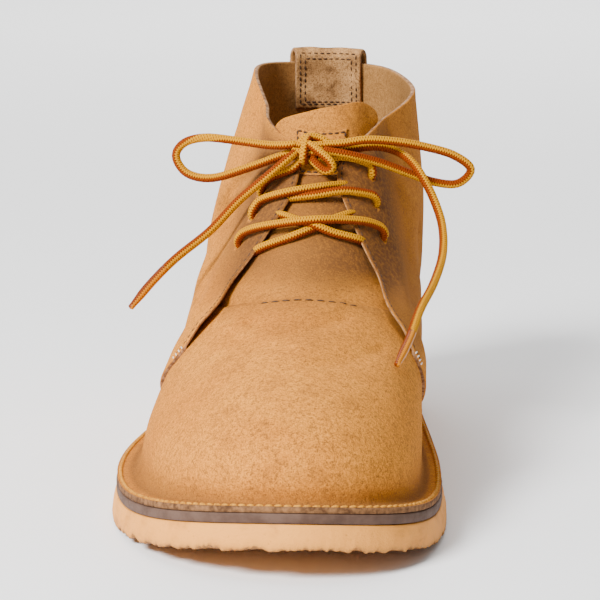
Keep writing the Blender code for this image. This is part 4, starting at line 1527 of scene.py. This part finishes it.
@dataclass
class PullTab:
    """Tab of suede folded over the back of the collar and sewn down in a box."""

    upper: Upper
    width: float = 0.028
    thickness: float = 0.0018
    stand: float = 0.0036
    clearance: float = 0.0006
    outside: float = 6.02
    inside: float = 5.96
    stitch: Stitch = Stitch(0.0025, 0.0019, 0.0007, 0.0006)

    def line(self, share: float) -> tuple[Array, Array]:
        """Points and outward directions from the lower outside edge over the rim and in again.

        Args:
            share: Place across the tab, from -1 on the lateral side to 1.

        Returns:
            The points of the line, and the outward directions of its inside stretch.
        """
        last = self.upper.last
        sign, side = (-1.0, Side.LATERAL) if share < 0.0 else (1.0, Side.MEDIAL)
        reach = abs(share) * 0.5 * self.width

        def frames(levels: Array) -> tuple[Array, Array, Array]:
            """Frames of the last at some levels, at the tab's place across.

            Args:
                levels: Levels of the points.

            Returns:
                The points, their outward directions and their upward ones.
            """
            low, high = np.full(len(levels), 2.0), np.full(len(levels), math.pi)
            for _ in range(24):
                middle = 0.5 * (low + high)
                wide = last.half_width(side, levels, middle) > reach
                low, high = np.where(wide, middle, low), np.where(wide, high, middle)
            return last.frame(levels, sign * high)

        out_levels = np.linspace(self.outside, 6.95, 22)
        point, normal, _ = frames(out_levels)
        height = self.upper.leather + self.clearance
        outer = point + normal * height
        rim_point, rim_normal, rim_up = (part[0] for part in frames(np.array([7.0])))
        middle = 0.5 * self.upper.leather
        arch = []
        for turn in np.linspace(0.0, math.pi, 13):
            out = middle + (middle + self.clearance) * math.cos(turn)
            lift = self.clearance + self.stand * (0.35 + 0.65 * math.sin(turn))
            arch.append(rim_point + rim_normal * out + rim_up * lift)
        in_levels = np.linspace(6.95, self.inside, 26)
        point, normal, _ = frames(in_levels)
        inner = point - normal * self.clearance
        return np.concatenate([outer, arch, inner]), normal

    def build(self) -> None:
        """Make the tab and its double box of stitches."""
        finishes = self.upper.finishes
        shares = np.concatenate([[-1.0, -0.99, -0.965, -0.93], np.linspace(-0.88, 0.88, 22),
                                 [0.93, 0.965, 0.99, 1.0]])
        grid = np.stack([self.line(share)[0] for share in shares])
        count = grid.shape[1]
        rows = np.arange(count)
        to_end = np.minimum(rows, count - 1 - rows) * 0.0008
        rim = np.minimum(((1.0 - np.abs(shares)) * 0.5 * self.width)[:, None], to_end[None, :])
        drop = edge_drop(rim, 0.0006)
        wave = 0.00045 * soft_noise(grid.reshape(-1, 3), 130.0, 40.0).reshape(rim.shape)
        ragged = soft_noise(grid[:, -1] * 1.0, 420.0, 2.0) * 0.0009
        for back in range(4):
            grid[:, -1 - back, 2] += ragged * (1.0 - back / 4.0)
        shade = {"rub": np.clip(0.5 + 900.0 * wave, 0.0, 1.0),
                 "soil_and_shade": np.clip(0.35 - 700.0 * wave, 0.0, 1.0)}
        mesh = shell("pull_tab", grid, wave + drop, wave + self.thickness - drop,
                     (finishes.tab_suede, finishes.lining, finishes.raw_edge), shade, flip=True)
        new_piece("tab_leather", mesh, ("pull_tab",))
        self.sew(shares, grid)

    def sew(self, shares: Array, grid: Array) -> None:
        """Double box inside and outside.

        Args:
            shares: Places of the columns across the tab.
            grid: Base points of the tab.
        """
        normals = grid_normals(grid, True)
        face = grid + normals * (self.thickness + 0.00005)
        total = grid.shape[1]
        lines = []
        for first, last_row in ((total - 29.5, total - 3.5), (2.5, 21.5)):
            for inset in (0.0, 1.0):
                low, high = first + 2.4 * inset, last_row - 1.2 * inset
                for across, row in box(0.88 - 0.15 * inset, low, high, 30):
                    column = np.interp(across, shares, np.arange(len(shares)))
                    lines.append((read_grid(face, column, row), read_grid(normals, column, row)))
        self.upper.stitcher.along("tab_stitches", lines, self.stitch,
                                  self.upper.finishes.brown_thread)


@dataclass
class Sole:
    """Crepe wedge, midsole and insole."""

    last: Last
    finishes: Finishes
    stations: int = 640
    step: float = 0.0003
    flare: float = 0.0016
    insole_thickness: float = 0.0030
    insole_inset: float = 0.0014
    # Each row is a share down the crepe's side and the ring's darkened share: painted shade under
    # the midsole at the top, dirt and painted shade towards the lower edge.
    side_rows: tuple[tuple[float, float], ...] = (
        (0.0, 0.25), (0.03, 0.05), (0.12, 0.0), (0.25, 0.0), (0.40, 0.0), (0.55, 0.0),
        (0.70, 0.05), (0.83, 0.15), (0.93, 0.4),
    )

    def ring(self, out: Array, height: Array) -> Array:
        """Closed ring round the boot.

        Args:
            out: Distance past the feather line at each station.
            height: Z at each station.

        Returns:
            The points, once round.
        """
        angle = self.angles()
        point = self.last.outline(angle, out + 0.0 * angle)
        point[:, 2] = height
        return point

    def angles(self) -> Array:
        """Signed angles of the stations, once round."""
        return np.linspace(-math.pi, math.pi, self.stations, endpoint=False)

    def slab(self, name: str, rings: Sequence[Array], material: Material,
             soil_and_shade: Sequence[float]) -> Mesh:
        """Closed slab through rings that run from the middle of its top to that of its base.

        Args:
            name: Name of the mesh.
            rings: Rings of points, in order.
            material: Material of the slab.
            soil_and_shade: Darkened share of each ring, from dirt and painted shade.

        Returns:
            The mesh.
        """
        bm = bmesh.new()
        layer = bm.verts.layers.float.new("soil_and_shade")
        loops = []
        for ring, dirt_and_shade in zip(rings, soil_and_shade):
            loop = [bm.verts.new(point) for point in ring]
            for vert in loop:
                vert[layer] = dirt_and_shade
            loops.append(loop)
        for upper, lower in zip(loops, loops[1:]):
            for k in range(len(upper)):
                after = (k + 1) % len(upper)
                bm.faces.new((upper[k], upper[after], lower[after], lower[k]))
        half = self.stations // 2
        for loop, top in ((loops[0], True), (loops[-1], False)):
            for k in range(half):
                left, left_after = loop[(half + k) % len(loop)], loop[(half + k + 1) % len(loop)]
                right, right_after = loop[(half - k) % len(loop)], loop[(half - k - 1) % len(loop)]
                corners = [left, left_after, right_after, right]
                corners = [vert for n, vert in enumerate(corners) if vert not in corners[:n]]
                bm.faces.new(corners if top else corners[::-1])
        bmesh.ops.recalc_face_normals(bm, faces=bm.faces)
        mesh = bpy.data.meshes.new(name)
        bm.to_mesh(mesh)
        bm.free()
        mesh.materials.append(material)
        return mesh

    def build(self) -> None:
        """Make the three layers."""
        last, angle = self.last, self.angles()
        width = last.flange_width(angle)
        edge = width + self.step
        flat = self.ring(edge, 0.0 * angle)
        y = flat[:, 1]
        top, bottom = last.outsole_top(y), last.sole_bottom(y)
        broad = soft_noise(flat, 62.0, 5.0)
        torn = soft_noise(flat, 150.0, 9.0)
        ragged = soft_noise(flat, 430.0, 2.0)
        lower = 0.0005 * np.abs(broad) + 0.0026 * np.abs(torn) + 0.0018 * np.abs(ragged)
        lower = np.clip(lower - 0.0003, 0.0, 0.0020)
        bulge = 0.00035 * broad + 0.00022 * torn + 0.00010 * ragged
        rings, soil_and_shade = [], []
        for share, dirt_and_shade in self.side_rows:
            profile = 0.0003 * math.sin(math.pi * share) + self.flare * share
            out = edge + profile + bulge * math.sin(math.pi * min(1.0, share + 0.1))
            rings.append(self.ring(out - 0.0003 * (share == 0.0), mix(top, bottom + lower, share)))
            soil_and_shade.append(dirt_and_shade)
        low = edge + self.flare
        # The lower edge and the underside are darkened, partly as dirt and partly as painted shade
        # that keeps the contact shadow on the floor dark.
        for out, height, dirt_and_shade in ((low + bulge - 0.0004, bottom + lower * 0.95, 0.85),
                                  (low + bulge - 0.0016, bottom + lower * 0.55, 0.9),
                                  (low - 0.0042, bottom + 0.0001, 0.75),
                                  (low - 0.0080, bottom, 0.55),
                                  (0.0 * width - 0.010, bottom, 0.5)):
            rings.append(self.ring(out, height))
            soil_and_shade.append(dirt_and_shade)
        # The crepe's top is darkened towards its edge under the midsole as painted shade.
        inner = [self.ring(width - 0.012, top), self.ring(edge - 0.0012, top)]
        mesh = self.slab("outsole", inner + rings, self.finishes.crepe, [0.0, 0.2] + soil_and_shade)
        new_piece("crepe_outsole", mesh, ("outsole",), 50.0)

        base, roof = top + last.gap, top + last.gap + last.midsole
        rim = edge + 0.00008 * torn
        rings = [self.ring(out, height) for out, height in (
            (width - 0.012, roof), (edge - 0.0006, roof), (rim - 0.0002, roof - 0.0001),
            (rim, roof - 0.0005), (rim, mix(base, roof, 0.5)), (rim, base + 0.0004),
            (rim - 0.0002, base), (width - 0.012, base))]
        mesh = self.slab("midsole", rings, self.finishes.midsole, [0.0] * len(rings))
        new_piece("midsole_sheet", mesh, ("midsole",), 50.0)

        inner_edge = 0.0 * width - self.insole_inset
        flat = self.ring(inner_edge, 0.0 * angle)
        floor = last.sole_top(flat[:, 1])
        roof = floor + self.insole_thickness
        rings = [self.ring(inner_edge - inset, height) for inset, height in (
            (0.010, roof), (0.0008, roof), (0.0002, roof - 0.0003), (0.0, roof - 0.0010),
            (0.0, floor))]
        mesh = self.slab("insole", rings, self.finishes.insole, [0.0] * len(rings))
        new_piece("insole_leather", mesh, ("insole",), 50.0)


@dataclass(frozen=True)
class Stop:
    """Place of a strand of lace between the eyelets, as in the solids' source.

    across is -1 at the lateral facing, 1 at the medial one and -2 and 2 at the eyelets. lift is in
    levels over the line between a pair of eyelets. rise is 0 on the tongue and 1 on a quarter.
    """

    across: float
    lift: float
    rise: float


@dataclass
class Laces:
    """Round lace through the eyelets, tied in a bow."""

    upper: Upper
    diameter: float = 0.0032
    clearance: float = 0.0004
    sides: int = 14
    step: float = 0.0010
    tip_length: float = 0.021
    knot_centre: Triple = (-0.0007, -0.0912, 0.1157)
    knot_slope: float = math.radians(40.0)
    rise_end: Triple = (0.0030, -0.0019, -0.0019)
    knot_step: float = 0.0008
    turn_middle: tuple[float, float] = (-0.0014, 0.0005)
    turn_lean: float = 0.0008
    turn_height: float = 0.0046
    turn_depth: float = 0.0034
    knot_routes: dict[str, Route] = field(default_factory=lambda: {
        "top": (
            (-0.0035, 0.0020, 0.0018), (-0.0014, 0.0046, 0.0022), (0.0020, 0.0052, 0.0018),
            (0.0055, 0.0040, 0.0010), (0.0080, 0.0022, -0.0008),
        ),
        "bight": (
            (-0.0022, 0.0012, 0.0024), (0.0005, -0.0010, 0.0040), (0.0040, -0.0042, 0.0038),
            (0.0074, -0.0070, 0.0026), (0.0086, -0.0086, 0.0006), (0.0064, -0.0090, -0.0010),
            (0.0030, -0.0062, -0.0008), (0.0005, -0.0030, -0.0004),
        ),
        "through": (
            (-0.0062, 0.0016, 0.0014), (-0.0020, 0.0014, 0.0012), (0.0020, 0.0014, 0.0012),
            (0.0050, 0.0018, 0.0014),
        ),
        "under": (
            (-0.0062, -0.0016, 0.0012), (-0.0020, -0.0018, 0.0010), (0.0020, -0.0018, 0.0010),
            (0.0050, -0.0014, 0.0016),
        ),
        "back": (
            (-0.0060, -0.0014, -0.0012), (0.0, -0.0006, -0.0016), (0.0050, -0.0014, -0.0012),
        ),
    })
    bar: tuple[Stop, ...] = (
        Stop(-2.02, -0.03, -1.90), Stop(-2.00, 0.00, 0.10), Stop(-1.86, 0.07, 0.98),
        Stop(-1.60, 0.17, 1.15), Stop(-1.00, 0.26, 1.20), Stop(0.00, 0.31, 1.60),
        Stop(1.00, 0.29, 1.20), Stop(1.60, 0.18, 1.15), Stop(1.86, 0.07, 0.98),
        Stop(2.00, 0.00, 0.10), Stop(2.02, -0.03, -1.90),
    )
    cross: tuple[tuple[Stop, ...], ...] = (
        (Stop(-1.22, -0.06, -0.50), Stop(-0.92, 0.03, 0.00), Stop(-0.45, 0.18, 0.02),
         Stop(0.00, 0.30, 0.00), Stop(0.45, 0.40, 0.02), Stop(0.92, 0.46, 0.00),
         Stop(1.22, 0.50, -0.50)),
        (Stop(1.22, 0.04, -0.50), Stop(0.92, 0.10, 0.00), Stop(0.45, 0.21, 0.10),
         Stop(0.00, 0.30, 0.75), Stop(-0.45, 0.42, 0.10), Stop(-0.92, 0.50, 0.00),
         Stop(-1.22, 0.55, -0.50)),
    )
    upper_cross: tuple[tuple[Stop, ...], ...] = (
        (Stop(-2.02, -0.03, -1.90), Stop(-2.00, 0.00, 0.10), Stop(-1.84, 0.10, 0.98),
         Stop(-1.60, 0.26, 1.15), Stop(-1.00, 0.42, 1.25), Stop(0.00, 0.55, 0.75),
         Stop(0.86, 0.62, 0.00), Stop(1.20, 0.64, -0.40)),
        (Stop(2.02, -0.03, -1.90), Stop(2.00, 0.00, 0.10), Stop(1.84, 0.09, 0.98),
         Stop(1.60, 0.20, 1.15), Stop(1.00, 0.34, 1.20), Stop(0.00, 0.40, 0.45),
         Stop(-0.86, 0.42, 0.00), Stop(-1.20, 0.42, -0.40)),
    )
    rises: tuple[tuple[Stop, ...], ...] = (
        (Stop(-2.02, -0.03, -1.90), Stop(-2.00, 0.00, 0.10), Stop(-1.86, 0.10, 0.95),
         Stop(-1.62, 0.30, 1.15), Stop(-1.10, 0.55, 1.25)),
        (Stop(2.02, -0.03, -1.90), Stop(2.00, 0.00, 0.10), Stop(1.90, 0.10, 0.95),
         Stop(1.72, 0.32, 1.15), Stop(1.10, 0.68, 1.25)),
    )
    loops: dict[Side, Route] = field(default_factory=lambda: {
        Side.LATERAL: (
            (-0.0059, -0.0912, 0.1181), (-0.0100, -0.0908, 0.1176), (-0.0170, -0.0880, 0.1174),
            (-0.0285, -0.0840, 0.1184), (-0.0401, -0.0805, 0.1190), (-0.0482, -0.0785, 0.1168),
            (-0.0515, -0.0780, 0.1116), (-0.0472, -0.0790, 0.1054), (-0.0373, -0.0815, 0.1041),
            (-0.0228, -0.0865, 0.1090), (-0.0125, -0.0888, 0.1130), (-0.0059, -0.0890, 0.1152),
        ),
        Side.MEDIAL: (
            (0.0046, -0.0912, 0.1181), (0.0112, -0.0913, 0.1186), (0.0200, -0.0895, 0.1197),
            (0.0305, -0.0860, 0.1187), (0.0411, -0.0825, 0.1165), (0.0518, -0.0805, 0.1132),
            (0.0583, -0.0795, 0.1079), (0.0535, -0.0795, 0.1025), (0.0445, -0.0805, 0.1032),
            (0.0355, -0.0830, 0.1067), (0.0238, -0.0880, 0.1115), (0.0128, -0.0930, 0.1148),
            (0.0048, -0.0940, 0.1162),
        ),
    })
    ends: dict[Side, Route] = field(default_factory=lambda: {
        Side.LATERAL: (
            (-0.0060, -0.0941, 0.1153), (-0.0095, -0.0970, 0.1125), (-0.0163, -0.0985, 0.1067),
            (-0.0265, -0.0970, 0.0978), (-0.0372, -0.0970, 0.0865), (-0.0492, -0.1010, 0.0770),
            (-0.0575, -0.1070, 0.0690), (-0.0647, -0.1130, 0.0605),
        ),
        Side.MEDIAL: (
            (0.0046, -0.0886, 0.1157), (0.0126, -0.0868, 0.1158), (0.0231, -0.0830, 0.1165),
            (0.0310, -0.0815, 0.1145), (0.0361, -0.0845, 0.1114), (0.0401, -0.0885, 0.1068),
            (0.0446, -0.0920, 0.0988), (0.0480, -0.0980, 0.0896), (0.0484, -0.1090, 0.0807),
            (0.0455, -0.1250, 0.0729), (0.0410, -0.1480, 0.0672),
            (0.0379, -0.1635, 0.0605), (0.0340, -0.1790, 0.0542),
        ),
    })

    def strand(self, row: int, stops: Sequence[Stop]) -> Array:
        """Points of a strand over one pair of eyelets.

        Args:
            row: Number of the pair of eyelets, from the lowest.
            stops: Places of the strand, in order.

        Returns:
            The points of its middle line.
        """
        upper, last = self.upper, self.upper.last
        over_tongue = upper.leather + self.clearance + 0.5 * self.diameter
        over_quarter = over_tongue + upper.leather + last.gap
        points = []
        for stop in stops:
            sign = np.array([-1.0 if stop.across < 0.0 else 1.0])
            level = np.array([mix(*upper.eyelets[row], (stop.across + 2.0) / 4.0) + stop.lift])
            if abs(stop.across) <= 1.0:
                angle = stop.across * last.facing(level)
            else:
                setback = (abs(stop.across) - 1.0) * upper.eyelet_setback
                angle = sign * last.behind(level, sign, setback)
            point, out, _ = last.frame(level, angle)
            points.append(point[0] + out[0] * mix(over_tongue, over_quarter, stop.rise))
        return np.array(points)

    def knot_place(self, across: float, up: float, out: float) -> Array:
        """Point by the knot: across the foot, up along the tongue and out from it."""
        sin, cos = math.sin(self.knot_slope), math.cos(self.knot_slope)
        return np.array(self.knot_centre) + (across, up * cos - out * sin, up * sin + out * cos)

    def tube(self, name: str, path: Array, material: Material,
             golden: Triple = (0.0, 0.0, 1.0), anchor: float = 0.5,
             twist: Triple = (0.0, 0.0, 1.0), taper: float = 0.0,
             closed: bool = False) -> Mesh:
        """Round tube along a path, with a UV map round and along it.

        Args:
            name: Name of the mesh.
            path: Points of its middle line.
            material: Its material.
            golden: Direction that the first colour's half faces at the anchor.
            anchor: Share of the path where golden is given.
            twist: Turns of the pattern, and the shares of the path where they start and end.
            taper: Share by which its far end is narrower.
            closed: Whether the path joins its own start.

        Returns:
            The mesh.
        """
        run = np.gradient(path, axis=0)
        if closed:
            run = np.roll(path, -1, axis=0) - np.roll(path, 1, axis=0)
        run = run / np.linalg.norm(run, axis=1, keepdims=True)
        start = int(anchor * (len(path) - 1))
        toward = np.array((0.0, -1.0, 0.15))
        side = toward - run[start] * (run[start] @ toward)
        hand = 1.0 if np.cross(run[start], side) @ np.array(golden) > 0.0 else -1.0
        first, second = np.empty_like(path), np.empty_like(path)
        for order in (range(start, len(path)), range(start, -1, -1)):
            carried = side
            for j in order:
                carried = carried - run[j] * (carried @ run[j])
                carried = carried / np.linalg.norm(carried)
                first[j], second[j] = carried, hand * np.cross(run[j], carried)
        count, total = self.sides, len(path)
        travel = lengths(path) / self.diameter
        turns, first_share, last_share = twist
        phase = 0.03 + turns * smooth((travel / travel[-1] - first_share)
                                      / (last_share - first_share))
        radius = 0.5 * self.diameter * (1.0 - taper * smooth((travel / travel[-1] - 0.6) / 0.4))
        turn = np.arange(count) * 2.0 * math.pi / count
        rings = (path[:, None] + radius[:, None, None]
                 * (first[:, None] * np.cos(turn)[None, :, None]
                    + second[:, None] * np.sin(turn)[None, :, None]))
        bm = bmesh.new()
        uv = bm.loops.layers.uv.new("UVMap")
        verts = [[bm.verts.new(point) for point in ring] for ring in rings]
        for j in range(total if closed else total - 1):
            for k in range(count):
                after, ahead = (k + 1) % count, (j + 1) % total
                face = bm.faces.new((verts[j][k], verts[ahead][k], verts[ahead][after],
                                     verts[j][after]))
                corners = ((j, k), (j + 1, k), (j + 1, k + 1), (j, k + 1))
                for loop, (row, column) in zip(face.loops, corners):
                    along = travel[row] if row < total else travel[-1] + self.step / self.diameter
                    loop[uv].uv = (column / count + phase[row % total], along)
        if not closed:
            cap = 0.25 * self.diameter * (1.0 - taper)
            for j, step in ((0, 1), (total - 1, -1)):
                centre = bm.verts.new(path[j] - run[j] * step * cap)
                for k in range(count):
                    pair = (verts[j][k], verts[j][(k + 1) % count])
                    face = bm.faces.new((*pair[::-step], centre))
                    for loop in face.loops:
                        loop[uv].uv = (k / count + phase[j], travel[j])
        bmesh.ops.recalc_face_normals(bm, faces=bm.faces)
        mesh = bpy.data.meshes.new(name)
        bm.to_mesh(mesh)
        bm.free()
        mesh.materials.append(material)
        return mesh

    def joined(self, name: str, tubes: Sequence[Mesh]) -> Mesh:
        """Several tubes in one mesh.

        Args:
            name: Name of the mesh.
            tubes: Meshes to put together.

        Returns:
            The one mesh.
        """
        bm = bmesh.new()
        for mesh in tubes:
            bm.from_mesh(mesh)
        result = bpy.data.meshes.new(name)
        bm.to_mesh(result)
        bm.free()
        result.materials.append(tubes[0].materials[0])
        return result

    def build(self) -> None:
        """Make the strands, the knot, the loops and the ends."""
        lace = self.upper.finishes.lace
        low = (0.0, 0.0, -1.0)
        bar = self.tube("bar", even(self.strand(0, self.bar), self.step), lace)
        new_piece("lace_bar_braid", bar, ("lace_bar",))
        for name, row, stops, node in (("lace_cross_braid", 0, self.cross, "lace_cross"),
                                       ("lace_upper_cross_braid", 1, self.upper_cross,
                                        "lace_upper_cross")):
            tubes = []
            for k, strand in enumerate(stops):
                golden = low if (row, k) == (1, 1) else (0.0, 0.0, 1.0)
                path = even(self.strand(row, strand), self.step)
                tubes.append(self.tube(f"{name}_{k}", path, lace, golden))
            new_piece(name, self.joined(name, tubes), (node,))
        for side, stops in zip(Side, self.rises):
            across, up, out = self.rise_end
            end = self.knot_place(side.value * across, up, out)
            route = np.concatenate([self.strand(2, stops), [end]])
            name = f"lace_rise_{side.name.lower()}"
            golden = low if side is Side.MEDIAL else (-0.6, 0.0, 0.8)
            mesh = self.tube(name, even(route, self.step), lace, golden)
            new_piece(name + "_braid", mesh, (name,))
        self.bow(self.knot())

    def knot(self) -> bpy.types.Object:
        """Make the knot: the turn round the bundle, its top strand and the bight.

        Returns:
            The piece.
        """
        lace = self.upper.finishes.lace
        turn = np.linspace(0.0, 2.0 * math.pi, 33)[:-1]
        across, out = self.turn_middle
        ring = np.array([self.knot_place(across + self.turn_lean * math.sin(t),
                                         self.turn_height * math.sin(t),
                                         out + self.turn_depth * math.cos(t)) for t in turn])
        tubes = [self.tube("turn", ring, lace, (-1.0, 0.0, 0.0), 0.0, closed=True)]
        for name, places in self.knot_routes.items():
            path = even([self.knot_place(*place) for place in places], self.knot_step)
            tubes.append(self.tube(name, path, lace))
        return new_piece("lace_knot_braid", self.joined("knot", tubes), ("lace_knot",))

    def bow(self, knot: bpy.types.Object) -> None:
        """Args:
            knot: Piece of the knot. Not used.
        """
        finishes = self.upper.finishes
        for side in Side:
            word = side.name.lower()
            path = even(self.loops[side], self.step)
            twist = (0.5, 0.26, 0.44) if side is Side.LATERAL else (0.0, 0.0, 1.0)
            mesh = self.tube(f"loop_{word}", path, finishes.lace, anchor=0.12, twist=twist)
            loop = new_piece(f"lace_loop_{word}_braid", mesh, (f"lace_loop_{word}",))
            path = even(self.ends[side], self.step)
            run = lengths(path)
            cut = int(np.searchsorted(run, run[-1] - self.tip_length))
            free, film = path[:cut + 1], path[cut:]
            golden = (0.7, 0.0, -0.7) if side is Side.LATERAL else (0.7, 0.0, 0.7)
            mesh = self.tube(f"end_{word}", free, finishes.lace, golden)
            end = new_piece(f"lace_end_{word}_braid", mesh, (f"lace_end_{word}",))
            mesh = self.tube(f"tip_{word}", film, finishes.lace_tip, golden, 0.0, taper=0.30)
            tip = new_piece(f"lace_tip_{word}_film", mesh, (f"lace_tip_{word}",))


@dataclass(frozen=True)
class Lamp:
    """Square lamp: its place, the point that it faces, its side and its power."""

    place: Triple
    target: Triple
    size: float
    power: float


@dataclass
class Studio:
    """Floor, light and a camera at the photograph's angle to the boot."""

    camera_place: Triple = (0.0556, -1.062, 0.236)
    camera_pitch: float = math.radians(8.08)
    camera_yaw: float = math.radians(0.65)
    photo_focal: float = 1755.0
    photo_middle: float = 300.0
    boot_pixel: tuple[float, float] = (213.0, 367.0)
    zoom: float = 1.52
    sensor: float = 36.0
    photo_width: float = 600.0
    sky: float = 0.34
    lamps: dict[str, Lamp] = field(default_factory=lambda: {
        "key": Lamp((-0.85, -1.20, 1.15), (0.0, -0.10, 0.05), 0.6, 76.0),
        "top": Lamp((-0.25, 0.05, 1.60), (0.0, -0.10, 0.05), 1.1, 10.0),
        "back": Lamp((0.0, 2.4, 1.5), (0.0, 2.4, 0.0), 2.6, 92.0),
    })

    def build(self) -> None:
        """Make the camera, the floor and the lights."""
        self.add_camera()
        bpy.ops.mesh.primitive_plane_add(size=8.0, location=(0.0, 0.0, 0.0))
        floor = bpy.context.object
        floor.name = "floor"
        tree = Tree("floor_paper", 0.9)
        cloud = tree.noise(3.0, 2.0)
        colour = tree.blend(cloud, (0.93, 0.93, 0.93), (0.96, 0.96, 0.96))
        floor.data.materials.append(tree.finish(colour))
        world = bpy.data.worlds.new("studio")
        world.use_nodes = True
        back = world.node_tree.nodes["Background"]
        back.inputs["Color"].default_value = (1.0, 1.0, 1.0, 1.0)
        back.inputs["Strength"].default_value = self.sky
        bpy.context.scene.world = world
        for name, lamp in self.lamps.items():
            light = bpy.data.lights.new(name, "AREA")
            light.size, light.energy = lamp.size, lamp.power
            holder = bpy.data.objects.new(name, light)
            holder.location = lamp.place
            aim = Vector(lamp.target) - Vector(lamp.place)
            holder.rotation_euler = aim.to_track_quat("-Z", "Y").to_euler()
            bpy.context.scene.collection.objects.link(holder)

    def add_camera(self) -> None:
        """Aim the photograph's camera at the one boot, with a longer lens."""
        pitch, yaw = self.camera_pitch, self.camera_yaw
        ahead = Vector((-math.sin(yaw) * math.cos(pitch), math.cos(yaw) * math.cos(pitch),
                        -math.sin(pitch)))
        right = ahead.cross(Vector((0.0, 0.0, 1.0))).normalized()
        up = right.cross(ahead)
        x = (self.boot_pixel[0] - self.photo_middle) / self.photo_focal
        y = (self.photo_middle - self.boot_pixel[1]) / self.photo_focal
        aim = ahead + right * x + up * y
        camera = bpy.data.cameras.new("camera")
        camera.sensor_width = self.sensor
        camera.lens = self.zoom * self.photo_focal / self.photo_width * self.sensor
        camera.clip_end = 50.0
        holder = bpy.data.objects.new("camera", camera)
        holder.location = self.camera_place
        holder.rotation_euler = aim.to_track_quat("-Z", "Y").to_euler()
        bpy.context.scene.collection.objects.link(holder)
        bpy.context.scene.camera = holder


def main() -> None:
    """Dress the boot and set it on the stage."""
    logging.basicConfig(level=logging.INFO, format="%(message)s")
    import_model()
    Studio().build()
    last = Last()
    finishes = Finishes()
    upper = Upper(last, finishes, Stitcher())
    Sole(last, finishes).build()
    upper.build()
    Tongue(upper).build()
    PullTab(upper).build()
    Laces(upper).build()


if __name__ == "__main__":
    main()
